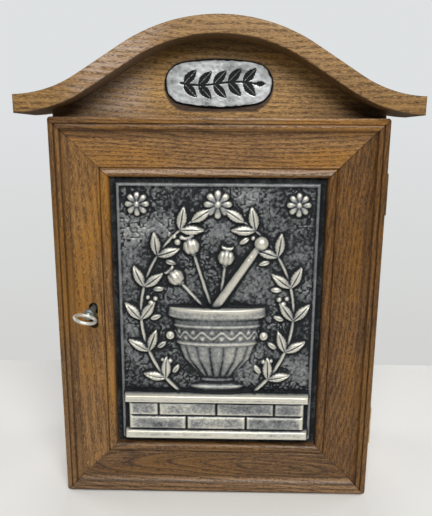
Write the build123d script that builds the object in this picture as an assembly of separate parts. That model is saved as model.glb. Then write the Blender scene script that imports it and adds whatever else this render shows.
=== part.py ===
from build123d import *
import os
from math import asin, atan, atan2, cos, degrees, pi, radians, sin, sqrt

os.makedirs("parts", exist_ok=True)

# Wall medicine cabinet of oak, one overlay door with a cast pewter relief.
# Millimetres. +X is to the right seen from the front, +Y to the wall, +Z up.
# The origin is the centre of the carcass's underside.

# Carcass
cabinet_width = 320.0
cabinet_height = 394.0
carcass_depth = 128.0
board = 16.0                 # sides, top and bottom
back_thickness = 4.0
back_rabbet = 8.0            # how far the back panel laps each board
rail_height = 42.0
rail_thickness = 12.0
shelf_thickness = 9.0
shelf_inset = 14.0           # shelf's front edge behind the carcass front
shelf_heights = (134.0, 254.0)
shelf_side_gap = 0.8
pin_radius = 2.5
pin_length = 17.0
pin_socket = 8.0
pin_setback = 18.0           # pin's axis from the shelf's front and rear edges
tongue_thickness = 4.0       # loose tongues in the corner joints
tongue_width = 16.0
tongue_inset = 14.0          # tongue's ends from the carcass front and from the back panel
fit = 0.1                    # play of tongues, pins and screws in their holes

# Pediment and arched cornice
crown_rise = 78.3            # cornice centreline above the carcass top, at the crown
crown_radius = 156.0
crown_angle = 31.9
straight_run = 49.5
sweep_radius = 124.0
cornice_thickness = 16.6
cornice_half_width = 187.0
cornice_depth = 60.0
cornice_lead = 9.0           # cornice front edge ahead of the door's front
cornice_round = 1.6
pediment_thickness = 18.0
block_size = 16.0
block_length = 60.0
block_offset = 70.0

# Plaque
plaque_width = 102.4
plaque_height = 44.7
plaque_thickness = 2.2
plaque_rise = 30.6           # plaque's centre above the carcass top
plaque_end_radius = 19.0
plaque_edge = 0.8
stud_radius = 1.6
stud_length = 5.0
stud_offset = 34.0

# Door
door_gap = 1.2               # between the door's back and the carcass
door_margin = 1.0            # door shorter than the carcass, above and below
door_thickness = 20.0
frame_width = 55.5
edge_round = 3.5
corner_round = 3.0
bead_start = 6.2
bead_end = 11.2
groove_depth = 1.5
slope_end = 17.4
field_depth = 4.5
astragal_width = 2.0         # small bead between the field and the quirk
astragal_rise = 0.9
quirk_start = 46.3
quirk_width = 1.2
sight_depth = 9.0
lip_depth = 12.0
rabbet_width = 8.0
spline_thickness = 3.0
spline_length = 30.0
spline_setback = 8.0
spline_width = 18.0

# Relief panel
panel_play = 0.5
flange_thickness = 2.5
art_margin = 5.5             # dark border between the frame and the raised picture
ground_height = 3.0
rim_width = 3.5
rim_height = 4.6
clip_length = 22.0
clip_width = 11.0
clip_thickness = 1.2
clip_setback = 4.5           # clip's screw from the rabbet's edge
clip_spread = 92.0           # clips of the stiles above and below the door's middle

# Picture of the relief: a mortar on a stone plinth between two leafy branches
relief_reach = 16.0          # nothing stands further out from the flange
panel_sink = 0.5             # how far the cast forms run into the ground
plinth_base = 10.0
plinth_body = 31.0
plinth_cap = 9.0
plinth_base_relief = 13.5
plinth_body_relief = 9.5
plinth_cap_relief = 14.5
block_relief = 11.5
block_joint = 0.7
block_joints = ((-1, -0.34, 0.34, 1), (-1, -0.66, 0, 0.66, 1))   # shares of the plinth's half width
mortar_outline = (           # radius and height above the plinth
    (29, 0), (30, 7), (19, 11), (17, 16), (36, 37), (45, 62), (46, 80), (51, 83), (50, 92),
)
mortar_flatness = 0.27       # depth of the half round over its radius
mortar_lug = (46.0, 62.0)    # middle of each lug
pestle_foot = (-6.0, 86.0)
pestle_tip = (43.0, 158.0)
pestle_radius = 5.0
pestle_knob = 7.5
poppy_stems = ((-42.0, 50.0), (-18.0, 72.0), (7.0, 58.0))   # lean in degrees, length
pod_radius = 8.5
stem_radius = 1.7
stem_shares = ((0.40, -0.62), (0.80, -0.06), (0.27, 0.74))   # foot, bulge and tip over the picture's halves
leaf_pairs = 6
leaf_length = 24.0
leaf_width = 10.5
leaf_relief = 7.5
leaf_angle = 40.0
berry_count = 3
berry_offset = 10.0
berry_radius = 3.4
berry_relief = 6.4
rosette_radius = 12.0
rosette_inset = 17.0
rosette_relief = 6.5
crown_flower_radius = 14.0

# Hinges
hinge_outset = 3.2           # pin's axis outside the carcass
hinge_spread = 124.0         # hinge centres above and below the door's middle
leaf_height = 40.0
leaf_thickness = 1.0
leaf_margin = 2.0            # leaf's edge short of the carcass board's inner face
leaf_clearance = 0.3
knuckle_radius = 2.75
knuckle_bore = 1.25
knuckle_gap = 0.3
case_knuckle = 12.0
hinge_pin_radius = 1.2
pin_head_radius = 2.3
pin_head_height = 1.0

# Lock and key
keyhole_inset = 35.6         # key's axis from the door's left edge
key_height = 206.0
keyhole_width = 9.0
keyhole_above = 6.0
keyhole_below = 21.0
lock_side_play = 1.0
lock_width = 32.0
lock_depth = 12.0
lock_wall = 1.5
lock_case_half = 28.0
lock_plate_half = 38.0
lock_plate_thickness = 1.2
lock_screw_rise = 33.0
lock_screw_inset = 6.5       # from the lock's left edge
lock_screw_edge = 5.5        # from the rabbet's edge
bolt_thickness = 4.0
bolt_height = 12.0
bolt_above_key = 6.0
bolt_throw = 7.0
bolt_play = 0.35
bolt_to_floor = 1.5
bolt_tip_inset = 0.2         # bolt drawn back inside the case
bolt_tail_room = 2.1
stump_radius = 1.5
spring_leaf = 0.6
spring_bend = 16.0           # where the leaf bears, from the case's wall
spring_reach = 22.0
spring_rise = 3.2
spring_foot = 8.0
spring_inset = 0.4
stump_from_tail = 5.0
key_turn = 180.0
key_tilt = 15.0              # bow's right end lies this much below level
shank_radius = 3.0
drill_pin_radius = 1.5
shank_bore = 1.6
shank_bore_depth = 20.0
bit_radius = 9.5
bit_thickness = 2.6
bit_width = 6.0
bit_floor_gap = 0.8
ward_slot = 1.2
collar_radius = 5.2
collar_start = 12.0          # ahead of the door's front
collar_end = 17.0
bow_centre = 29.0
bow_radius = 9.9
bow_wire = 1.6
strike_thickness = 1.2
strike_width = 14.0
strike_height = 42.0
strike_screw_spread = 16.0
strike_play = 0.6            # round the bolt in its mortise
mortise_depth = 8.0

# Hangers
hanger_width = 16.0
hanger_height = 38.0
hanger_thickness = 1.6
hanger_offset = 100.0
hanger_entry_radius = 4.25
hanger_slot_radius = 2.3
hanger_slot_rise = 8.0
hanger_pocket_margin = 5.2   # room for the screw's head round the plate's slot
hanger_pocket_depth = 10.0
hanger_screw_spread = 14.5

# Screws
peg_sides = 8                # small pins and screws are drawn with this many sides
screw_head_radius = 2.6
screw_radius = 1.4
screw_head_height = 1.2
screw_length = 11.0

# Worked out from the above
half_width = cabinet_width / 2
inner_half = half_width - board
front = -carcass_depth / 2
back = carcass_depth / 2
door_back = front - door_gap
door_front = door_back - door_thickness
door_low = door_margin
door_high = cabinet_height - door_margin
door_middle = (door_low + door_high) / 2
door_half_height = (door_high - door_low) / 2
panel_plane = door_front + lip_depth
rabbet_start = frame_width - rabbet_width
key_x = -half_width + keyhole_inset
cornice_front = door_front - cornice_lead
hinge_x = half_width + hinge_outset
hinge_y = (front + door_back) / 2


def block(x0, x1, y0, y1, z0, z1):
    """A box between two corners."""
    return Pos((x0 + x1) / 2, (y0 + y1) / 2, (z0 + z1) / 2) * Box(x1 - x0, y1 - y0, z1 - z0)


def rod(start, direction, radius, length):
    """A round bar from a point along a direction."""
    plane = Plane(origin=start, z_dir=direction)
    return extrude(plane * Circle(radius), amount=length)


def turned(start, direction, outline):
    """A solid of revolution: outline is a list of (radius, distance along the direction)."""
    axis = Vector(*direction)
    side = Vector(0, 0, 1) if abs(axis.Z) < 0.5 else Vector(1, 0, 0)
    plane = Plane(origin=start, x_dir=side, z_dir=side.cross(axis))
    points = [(0, outline[0][1])] + list(outline) + [(0, outline[-1][1])]
    face = make_face(Polyline(*points, close=True))
    return revolve(plane * face, axis=Axis(start, direction))


def peg(start, direction, outline):
    """A small many-sided pin: outline is a list of (radius, distance along the direction)."""
    plane = Plane(origin=start, z_dir=direction)
    sections = [plane * Pos(0, 0, along) * RegularPolygon(radius, peg_sides) for radius, along in outline]
    return loft(sections, ruled=True)


def screw(start, direction, length=screw_length):
    """Countersunk wood screw whose head is flush with the start point."""
    return peg(start, direction, [
        (screw_head_radius, 0),
        (screw_radius, screw_head_height),
        (screw_radius, length),
    ])


def screw_hole(start, direction, length=screw_length):
    """The room that a screw takes, with its play."""
    return peg(start, direction, [
        (screw_head_radius + fit, -fit),
        (screw_head_radius + fit, 0),
        (screw_radius + fit, screw_head_height),
        (screw_radius + fit, length + fit),
    ])


def write(name, shape):
    shape.label = name
    export_step(shape, f"parts/{name}.step")


def write_group(name, solids):
    write(name, Compound(children=list(solids)))


# Places of the fasteners, used by the pieces and by their holes

shelf_front = front + shelf_inset
shelf_back = back - back_thickness - 1.0
rail_middle = cabinet_height - board - rail_height / 2


def shelf_pin_places():
    for height in shelf_heights:
        for side in (-1, 1):
            for y in (shelf_front + pin_setback, shelf_back - pin_setback):
                yield side, y, height - pin_radius


def hanger_screw_places(side):
    for dz in (-hanger_screw_spread, hanger_screw_spread):
        yield (side * hanger_offset, back, rail_middle + dz)


def hinge_middles():
    return (door_middle - hinge_spread, door_middle + hinge_spread)


def hinge_screw_places(middle):
    reach = half_width - inner_half - leaf_margin
    for dz, share in ((-0.34, 0.35), (0, 0.62), (0.34, 0.35)):
        yield half_width - share * reach, middle + dz * leaf_height


# Lock places
bolt_low = key_height + bolt_above_key
bolt_high = bolt_low + bolt_height
lock_left = -inner_half + lock_side_play
lock_right = lock_left + lock_width
lock_back = door_back + lock_depth
plate_back = door_back + lock_plate_thickness
cavity_floor = lock_back - lock_wall
bolt_y1 = cavity_floor - bolt_to_floor
bolt_y0 = bolt_y1 - bolt_thickness
bolt_left = lock_left + bolt_tip_inset
bolt_right = lock_right - lock_wall - bolt_tail_room
slot_low = bolt_low + bolt_height / 2 - stump_radius - bolt_play
slot_high = bolt_low + bolt_height / 2 + stump_radius + bolt_play
stump_x = bolt_right - stump_from_tail
strike_middle = (bolt_low + bolt_high) / 2


def lock_screw_places():
    for x in (lock_left + lock_screw_inset, -half_width + rabbet_start - lock_screw_edge):
        for dz in (-lock_screw_rise, lock_screw_rise):
            yield (x, plate_back, key_height + dz)


def strike_screw_places():
    y = (bolt_y0 + bolt_y1) / 2
    for dz in (-strike_screw_spread, strike_screw_spread):
        yield (-inner_half, y, strike_middle + dz)


# Carcass boards

def back_rabbet_cut():
    lap = inner_half + back_rabbet
    return block(-lap, lap, back - back_thickness, back + 1,
                 board - back_rabbet, cabinet_height - board + back_rabbet)


def tongue_solids(play=0.0):
    """Loose tongues across the four corner joints."""
    half = tongue_width / 2 + play
    rise = tongue_thickness / 2 + play
    y0, y1 = front + tongue_inset - play, back - back_thickness - tongue_inset + play
    for x in (-inner_half, inner_half):
        for z in (board / 2, cabinet_height - board / 2):
            yield block(x - half, x + half, y0, y1, z - rise, z + rise)


def shelf_pin(side, y, z, play=0.0):
    start = (side * (inner_half + pin_socket + play), y, z)
    return peg(start, (-side, 0, 0), [(pin_radius + play, 0), (pin_radius + play, pin_length)])


def carcass_side(side):
    """Side board with its rabbet, grooves and pin holes, and its hinge or strike mortises."""
    inner, outer = side * inner_half, side * half_width
    body = block(min(inner, outer), max(inner, outer), front, back, 0, cabinet_height)
    body -= back_rabbet_cut()
    for groove in tongue_solids(play=fit):
        body -= groove
    for s, y, z in shelf_pin_places():
        if s == side:
            body -= shelf_pin(s, y, z, play=fit)
    if side > 0:
        for middle in hinge_middles():
            body -= leaf_mortise(middle, hinge_y + leaf_clearance / 2, 1)
            for x, z in hinge_screw_places(middle):
                body -= screw_hole((x, hinge_y + leaf_clearance / 2, z), (0, 1, 0))
    else:
        body -= strike_recess()
        for place in strike_screw_places():
            body -= screw_hole(place, (-1, 0, 0))
    return body


def carcass_end(low):
    """Top or bottom board between the sides."""
    body = block(-inner_half, inner_half, front, back, low, low + board)
    body -= back_rabbet_cut()
    for groove in tongue_solids(play=fit):
        body -= groove
    return body


def back_panel():
    lap = inner_half + back_rabbet - fit
    panel = block(-lap, lap, back - back_thickness, back,
                  board - back_rabbet + fit, cabinet_height - board + back_rabbet - fit)
    panel -= hanger_recess(-1) + hanger_recess(1)
    return panel


def hanging_rail():
    rear = back - back_thickness
    high = cabinet_height - board
    rail = block(-inner_half, inner_half, rear - rail_thickness, rear, high - rail_height, high)
    return rail - (hanger_recess(-1) + hanger_recess(1))


def shelf(height):
    half = inner_half - shelf_side_gap
    body = block(-half, half, shelf_front, shelf_back, height, height + shelf_thickness)
    return fillet(body.edges().filter_by(Axis.X).sort_by(Axis.Y)[:2], shelf_thickness * 0.3)


# Cornice: arc at the crown, short straight run, then a counter arc to nearly level

crown_z = cabinet_height + crown_rise
turn = radians(crown_angle)
crown_centre = Vector(0, crown_z - crown_radius)
run_start = crown_centre + Vector(sin(turn), cos(turn)) * crown_radius
run_end = run_start + Vector(cos(turn), -sin(turn)) * straight_run
sweep_centre = run_end + Vector(sin(turn), cos(turn)) * sweep_radius


def cornice_edge(offset):
    """One edge of the cornice at an offset above its centreline, as points and arc middles on the right."""
    upper = crown_radius + offset
    lower = sweep_radius - offset
    joint = crown_centre + Vector(sin(turn), cos(turn)) * upper
    joint_end = sweep_centre - Vector(sin(turn), cos(turn)) * lower
    end_lean = asin((sweep_centre.X - cornice_half_width) / lower)
    middle_lean = (turn + end_lean) / 2
    middle = sweep_centre - Vector(sin(middle_lean), cos(middle_lean)) * lower
    end = sweep_centre - Vector(sin(end_lean), cos(end_lean)) * lower
    crown = crown_centre + Vector(0, upper)
    return crown, joint, joint_end, middle, end


def cornice_line(offset):
    """The whole edge from the left end to the right end, as a list of curves."""
    crown, joint, joint_end, middle, end = cornice_edge(offset)

    def left(point):
        return Vector(-point.X, point.Y)

    return [
        ThreePointArc(left(end), left(middle), left(joint_end)),
        Line(left(joint_end), left(joint)),
        ThreePointArc(left(joint), crown, joint),
        Line(joint, joint_end),
        ThreePointArc(joint_end, middle, end),
    ]


def upright(face, y, depth):
    """A face drawn in X and Z, made solid from y towards the wall."""
    plane = Plane(origin=(0, y, 0), x_dir=(1, 0, 0), z_dir=(0, -1, 0))
    return extrude(plane * face, amount=-depth)


def arch_cornice():
    top = cornice_line(cornice_thickness / 2)
    bottom = cornice_line(-cornice_thickness / 2)
    right = Line(top[-1] @ 1, bottom[-1] @ 1)
    left = Line(top[0] @ 0, bottom[0] @ 0)
    body = upright(make_face(top + [right] + bottom + [left]), cornice_front, cornice_depth)
    rim = [e for e in body.edges() if abs(e.center().Y - cornice_front) < 0.01]
    return fillet(rim, cornice_round)


def pediment_board():
    """Board under the arch, standing on the carcass top."""
    bottom = cornice_line(-cornice_thickness / 2)
    reach = cornice_half_width
    low_right = Line(bottom[-1] @ 1, (reach, cabinet_height))
    low = Line((reach, cabinet_height), (-reach, cabinet_height))
    low_left = Line((-reach, cabinet_height), bottom[0] @ 0)
    body = upright(make_face(bottom + [low_right, low, low_left]), front, pediment_thickness)
    body &= block(-half_width, half_width, front - 1, back, cabinet_height - 1, crown_z)
    for side in (-1, 1):
        body -= rod((side * stud_offset, front, plaque_z), (0, 1, 0), stud_radius + fit, stud_length + fit)
    return body


plaque_z = cabinet_height + plaque_rise


def plaque():
    """Oval plate of four arcs with a bevelled edge and two studs behind."""
    a, b, r = plaque_width / 2, plaque_height / 2, plaque_end_radius
    side_radius = ((a - r) ** 2 + b ** 2 - r ** 2) / (2 * (b - r))
    toward = Vector(a - r, side_radius - b).normalized()
    joint = Vector(a - r, 0) + toward * r
    x, z = joint.X, joint.Y
    face = make_face([
        ThreePointArc((-x, z), (0, b), (x, z)),
        ThreePointArc((x, z), (a, 0), (x, -z)),
        ThreePointArc((x, -z), (0, -b), (-x, -z)),
        ThreePointArc((-x, -z), (-a, 0), (-x, z)),
    ])
    plate = upright(Pos(0, plaque_z) * face, front - plaque_thickness, plaque_thickness)
    rim = [e for e in plate.edges() if abs(e.center().Y - (front - plaque_thickness)) < 0.01]
    plate = chamfer(rim, plaque_edge)
    for side in (-1, 1):
        plate += rod((side * stud_offset, front - 0.5, plaque_z), (0, 1, 0), stud_radius, stud_length + 0.5)
    return plate


def pediment_blocks():
    """Triangular glue blocks in the corner behind the pediment."""
    rear = front + pediment_thickness
    base = cabinet_height
    section = Polyline((rear, base), (rear + block_size, base), (rear, base + block_size), close=True)
    plane = Plane(origin=(0, 0, 0), x_dir=(0, 1, 0), z_dir=(1, 0, 0))
    for side in (-1, 1):
        start = side * block_offset - block_length / 2
        yield extrude(Pos(start, 0, 0) * (plane * make_face(section)), amount=block_length)


# Hanger plates let into the back panel over the hanging rail

def keyhole_slot(radius, rise, plane):
    """A tall slot with round ends, drawn on a plane, from its lower centre up."""
    return plane * (Pos(0, rise / 2) * Rectangle(2 * radius, rise) + Circle(radius) + Pos(0, rise) * Circle(radius))


def hanger_plane(side, y):
    return Plane(origin=(side * hanger_offset, y, rail_middle - hanger_slot_rise / 2), x_dir=(1, 0, 0),
                 z_dir=(0, -1, 0))


def hanger_recess(side):
    x = side * hanger_offset
    recess = block(x - hanger_width / 2 - fit, x + hanger_width / 2 + fit, back - hanger_thickness, back + 1,
                   rail_middle - hanger_height / 2 - fit, rail_middle + hanger_height / 2 + fit)
    low = rail_middle - hanger_slot_rise / 2 - hanger_pocket_margin
    recess += block(x - hanger_pocket_margin, x + hanger_pocket_margin, back - hanger_pocket_depth, back,
                    low, low + hanger_slot_rise + 2 * hanger_pocket_margin)
    for place in hanger_screw_places(side):
        recess += screw_hole(place, (0, -1, 0))
    return recess


def hanger_plate(side):
    plane = hanger_plane(side, back)
    outline = plane * (Pos(0, hanger_slot_rise / 2) * RectangleRounded(hanger_width, hanger_height, 2.0))
    plate = extrude(outline, amount=hanger_thickness)
    plate -= extrude(plane * Circle(hanger_entry_radius), amount=hanger_thickness + 1)
    plate -= extrude(keyhole_slot(hanger_slot_radius, hanger_slot_rise, plane), amount=hanger_thickness + 1)
    for place in hanger_screw_places(side):
        plate -= screw_hole(place, (0, -1, 0))
    return plate


# Door frame

def moulding():
    """Section of the door frame: x runs in from the outer edge, y from the front to the back."""
    bead_middle = (bead_start + bead_end) / 2
    bead_half = (bead_end - bead_start) / 2 - 0.5
    slope_start = bead_end + 0.7
    slope_top = groove_depth * 0.6
    ovolo_start = quirk_start + quirk_width
    ovolo_bend = (ovolo_start + 0.5 * (frame_width - ovolo_start), field_depth - 0.2)
    astragal_start = quirk_start - astragal_width
    astragal_top = (quirk_start - astragal_width / 2, field_depth - astragal_rise)
    slope_bend = (slope_start + 0.42 * (slope_end - slope_start),
                  slope_top + 0.66 * (field_depth - slope_top))
    curves = [
        Line((0, door_thickness), (0, edge_round)),
        RadiusArc((0, edge_round), (edge_round, 0), edge_round),
        Line((edge_round, 0), (bead_start - 0.8, 0)),
        Line((bead_start - 0.8, 0), (bead_start, groove_depth)),
        Line((bead_start, groove_depth), (bead_middle - bead_half, 0.6)),
        ThreePointArc((bead_middle - bead_half, 0.6), (bead_middle, 0), (bead_middle + bead_half, 0.6)),
        Line((bead_middle + bead_half, 0.6), (bead_end, groove_depth)),
        Line((bead_end, groove_depth), (slope_start, slope_top)),
        ThreePointArc((slope_start, slope_top), slope_bend, (slope_end, field_depth)),
        Line((slope_end, field_depth), (astragal_start, field_depth)),
        ThreePointArc((astragal_start, field_depth), astragal_top, (quirk_start, field_depth)),
        Line((quirk_start, field_depth), (quirk_start + quirk_width / 2, field_depth + 1.0)),
        Line((quirk_start + quirk_width / 2, field_depth + 1.0), (ovolo_start, field_depth)),
        ThreePointArc((ovolo_start, field_depth), ovolo_bend, (frame_width, sight_depth)),
        Line((frame_width, sight_depth), (frame_width, lip_depth)),
        Line((frame_width, lip_depth), (rabbet_start, lip_depth)),
        Line((rabbet_start, lip_depth), (rabbet_start, door_thickness)),
        Line((rabbet_start, door_thickness), (0, door_thickness)),
    ]
    return make_face(curves)


def member(corner, inward, length):
    """A length of the moulding from a door corner, mitred at both ends."""
    plane = Plane(origin=corner, x_dir=inward, z_dir=Vector(*inward).cross(Vector(0, 1, 0)))
    bar = extrude(plane * moulding(), amount=length)
    along, across = plane.z_dir, plane.x_dir
    origin = Vector(*corner)
    corners = [
        origin,
        origin + along * length,
        origin + along * (length - frame_width) + across * frame_width,
        origin + along * frame_width + across * frame_width,
    ]
    mitres = make_face(Polyline(*corners, close=True))
    wedge = extrude(mitres, amount=door_thickness, dir=(0, 1, 0))
    return bar & wedge


def corner_waste():
    """What is taken off to round the door's four corners."""
    for sx in (-1, 1):
        for sz in (-1, 1):
            x = sx * (half_width - corner_round)
            z = door_middle + sz * (door_half_height - corner_round)
            reach = corner_round + 1
            corner = block(min(x, x + sx * reach), max(x, x + sx * reach), door_front - 1, door_back + 1,
                           min(z, z + sz * reach), max(z, z + sz * reach))
            yield corner - rod((x, door_front - 2, z), (0, 1, 0), corner_round, door_thickness + 4)


def spline_solids(play=0.0):
    """Feathers set square across the four mitres, in the middle of the wood's thickness."""
    middle = (panel_plane + door_back) / 2
    for sx in (-1, 1):
        for sz in (-1, 1):
            corner = Vector(sx * (half_width - spline_setback), middle,
                            door_middle + sz * (door_half_height - spline_setback))
            feather = Box(spline_length + 2 * play, spline_thickness + 2 * play, spline_width + 2 * play)
            inward = Rot(0, -45 if sx == sz else 45, 0) * Pos(-sx * spline_length / 2, 0, 0)
            yield Pos(corner) * inward * feather


def clip_places():
    """Each turn clip: its screw's place and the direction towards the panel."""
    side = half_width - rabbet_start + clip_setback
    rise = door_half_height - rabbet_start + clip_setback
    for sign in (-1, 1):
        yield (0, door_middle + sign * rise), (0, -sign)
        for dz in (-clip_spread, clip_spread):
            yield (sign * side, door_middle + dz), (-sign, 0)


def clip_screw_holes():
    return [screw_hole((x, door_back + clip_thickness, z), (0, -1, 0)) for (x, z), _ in clip_places()]


def keyhole_cut():
    """Tall slot through the stile for the key."""
    half = keyhole_width / 2
    low = key_height - keyhole_below + half
    plane = Plane(origin=(key_x, door_front - 1, low), x_dir=(1, 0, 0), z_dir=(0, -1, 0))
    rise = keyhole_above + keyhole_below - keyhole_width
    return extrude(keyhole_slot(half, rise, plane), amount=-(door_thickness + 2))


def door_member(name):
    low, high = door_low, door_high
    y = door_front
    corners = {
        "door_stile_left": ((-half_width, y, low), (1, 0, 0), high - low),
        "door_stile_right": ((half_width, y, high), (-1, 0, 0), high - low),
        "door_rail_bottom": ((half_width, y, low), (0, 0, 1), cabinet_width),
        "door_rail_top": ((-half_width, y, high), (0, 0, -1), cabinet_width),
    }
    body = member(*corners[name])
    for cut in corner_waste():
        body -= cut
    for cut in spline_solids(play=fit):
        body -= cut
    for cut in clip_screw_holes():
        body -= cut
    if name == "door_stile_left":
        body -= keyhole_cut()
        for place in lock_screw_places():
            body -= screw_hole(place, (0, -1, 0))
    if name == "door_stile_right":
        for middle in hinge_middles():
            body -= leaf_mortise(middle, hinge_y - leaf_clearance / 2, -1)
            for x, z in hinge_screw_places(middle):
                body -= screw_hole((x, hinge_y - leaf_clearance / 2, z), (0, -1, 0))
    return body


def turn_clip(place, toward):
    """Flat turn clip with one round end, lapping the panel's backing."""
    x, z = place
    plane = Plane(origin=(x, door_back, z), x_dir=(toward[0], 0, toward[1]), z_dir=(0, 1, 0))
    reach = clip_length - clip_width
    outline = Circle(clip_width / 2) + Pos(reach / 2, 0) * Rectangle(reach, clip_width)
    clip = extrude(plane * outline, amount=clip_thickness)
    return clip - screw_hole((x, door_back + clip_thickness, z), (0, -1, 0))


# Relief panel: heights are measured from the front of its flange

panel_half_width = half_width - rabbet_start - panel_play
panel_half_height = door_half_height - rabbet_start - panel_play
art_half_width = half_width - frame_width - art_margin
art_half_height = door_half_height - frame_width - art_margin
picture_half_width = art_half_width - rim_width
picture_half_height = art_half_height - rim_width
plinth_low = -picture_half_height
plinth_top = plinth_low + plinth_base + plinth_body + plinth_cap
mortar_top = plinth_top + mortar_outline[-1][1]


def relief_plane(height=0.0):
    """Plane of the picture, x to the right and y up from its centre, z towards the viewer."""
    return Plane(origin=(0, panel_plane - height, door_middle), x_dir=(1, 0, 0), z_dir=(0, -1, 0))


def slab(x0, x1, z0, z1, height, low=0.0):
    outline = Pos((x0 + x1) / 2, (z0 + z1) / 2) * Rectangle(x1 - x0, z1 - z0)
    return extrude(relief_plane(low) * outline, amount=height - low)


def pad(x0, x1, z0, z1, height, bevel):
    """A slab whose front edges are bevelled."""
    body = slab(x0, x1, z0, z1, height)
    return chamfer(body.faces().sort_by(Axis.Y)[0].edges(), bevel)


def in_front():
    """The space between the flange and the highest relief."""
    return slab(-picture_half_width, picture_half_width, -picture_half_height, picture_half_height, relief_reach)


def dome(radius, x, z, height):
    """The front of a ball standing out to a height above the flange."""
    return Pos(x, panel_plane - height + radius, door_middle + z) * Sphere(radius) & in_front()


def button(radius, x, z, height):
    """A small boss with sloping sides."""
    rise = height - ground_height + panel_sink
    outline = Pos(x, z) * RegularPolygon(radius, peg_sides)
    return extrude(relief_plane(ground_height - panel_sink) * outline, amount=rise, taper=25)


def leaf_solid(x, z, angle):
    """Almond leaf from its stalk end, with sides that slope up to a ridge."""
    bow = leaf_width / 2
    outline = make_face([
        ThreePointArc((0, 0), (leaf_length * 0.45, bow), (leaf_length, 0)),
        ThreePointArc((leaf_length, 0), (leaf_length * 0.45, -bow), (0, 0)),
    ])
    rise = leaf_relief - ground_height + panel_sink
    slope = degrees(atan(0.8 * bow / rise))
    place = Pos(x, z) * Rot(0, 0, angle)
    return extrude(relief_plane(ground_height - panel_sink) * (place * outline), amount=rise, taper=slope)


def rosette(x, z, radius):
    """Flower of eight pointed petals round a boss."""
    points = []
    for k in range(16):
        reach = radius if k % 2 == 0 else radius * 0.62
        points.append((x + reach * cos(pi * k / 8), z + reach * sin(pi * k / 8)))
    star = make_face(Polyline(*points, close=True))
    rise = rosette_relief - ground_height + panel_sink
    petals = extrude(relief_plane(ground_height - panel_sink) * star, amount=rise, taper=35)
    return petals + button(radius * 0.32, x, z, rosette_relief + 1.5)


def bar_on_ground(start, end, radius, height):
    """A bar lying on the picture's ground, its axis at a height."""
    plane = relief_plane(height)
    a, b = (plane.from_local_coords((p.X, p.Y, 0)) for p in (start, end))
    return peg(tuple(a), tuple((b - a).normalized()), [(radius, 0), (radius, (b - a).length)]) & in_front()


def plinth_pieces():
    """Stone plinth: base and cap courses with two courses of dressed blocks between them."""
    wide, narrow = picture_half_width - 0.5, picture_half_width - 4.5
    body_low = plinth_low + plinth_base
    cap_low = body_low + plinth_body
    pieces = [
        pad(-wide, wide, plinth_low, body_low, plinth_base_relief, 1.8),
        slab(-narrow, narrow, body_low, cap_low, plinth_body_relief),
        pad(-wide, wide, cap_low, plinth_top, plinth_cap_relief, 1.8),
    ]
    course = plinth_body / 2
    for row, joints in enumerate(block_joints):
        for left, right in zip(joints, joints[1:]):
            x0, x1 = left * narrow + block_joint, right * narrow - block_joint
            z0 = body_low + row * course + block_joint
            block_face = slab(x0, x1, z0, z0 + course - 2 * block_joint, block_relief, plinth_body_relief - 1)
            pieces.append(chamfer(block_face.faces().sort_by(Axis.Y)[0].edges(), 1.0))
    return pieces


def mortar_pieces():
    """Footed mortar as a flattened half round, with its pestle and poppy heads."""
    outline = Polyline((0, mortar_outline[0][1]), *mortar_outline, (0, mortar_outline[-1][1]), close=True)
    half = Rot(0, 0, 180) * revolve(Plane.XZ * make_face(outline), axis=Axis.Z, revolution_arc=180)
    mortar = scale(half, by=(1, mortar_flatness, 1))
    mortar &= block(-art_half_width, art_half_width, -relief_reach, 0, 0, mortar_outline[-1][1])
    pieces = [Pos(0, panel_plane, door_middle + plinth_top) * mortar]
    lug_height = plinth_top + mortar_lug[1]
    for side in (-1, 1):
        x = side * mortar_lug[0]
        pieces.append(pad(x - 5, x + 5, lug_height - 4, lug_height + 4, ground_height + 4, 1.5))

    foot = Vector(pestle_foot[0], plinth_top + pestle_foot[1])
    tip = Vector(pestle_tip[0], plinth_top + pestle_tip[1])
    pieces.append(bar_on_ground(foot, tip, pestle_radius, ground_height + pestle_radius * 0.3))
    pieces.append(dome(pestle_knob, tip.X, tip.Y, ground_height + pestle_knob * 1.1))
    for lean, length in poppy_stems:
        direction = Vector(sin(radians(lean)), cos(radians(lean)))
        start = Vector(direction.X * 12, mortar_top - 6)
        end = start + direction * length
        pieces.append(bar_on_ground(start, end, stem_radius, ground_height + 0.4))
        pieces.append(dome(pod_radius, end.X, end.Y, ground_height + pod_radius * 0.75))
        crown = end + direction * pod_radius * 1.1
        pieces.append(button(pod_radius * 0.5, crown.X, crown.Y, ground_height + 2.5))
    return pieces


def stem_solid(stem):
    """A ridged stem along an arc, thickest in the middle and pointed at both ends."""
    foot, middle, tip = stem @ 0, stem @ 0.5, stem @ 1
    across = Vector(-(stem % 0.5).Y, (stem % 0.5).X) * stem_radius
    outline = make_face([
        ThreePointArc(foot, middle + across, tip),
        ThreePointArc(tip, middle - across, foot),
    ])
    return extrude(relief_plane(ground_height - panel_sink) * outline, amount=stem_radius + panel_sink, taper=25)


def branch_pieces():
    """Two leafy branches rising behind the mortar's foot on either side, with berries."""
    pieces = []
    for side in (-1, 1):
        stem = ThreePointArc(*[(side * x * picture_half_width, z * picture_half_height) for x, z in stem_shares])
        pieces.append(stem_solid(stem))
        for i in range(leaf_pairs):
            at = (i + 0.6) / leaf_pairs
            point, tangent = stem @ at, stem % at
            heading = degrees(atan2(tangent.Y, tangent.X))
            for hand in (-1, 1):
                pieces.append(leaf_solid(point.X, point.Y, heading + hand * leaf_angle))
        tangent = stem % 1
        pieces.append(leaf_solid((stem @ 1).X, (stem @ 1).Y, degrees(atan2(tangent.Y, tangent.X))))
        for i in range(berry_count):
            point = stem @ ((i + 0.55) / berry_count)
            inward = Vector(-side * berry_offset, 0)
            pieces.append(button(berry_radius, point.X + inward.X, point.Y, berry_relief))
    return pieces


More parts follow.
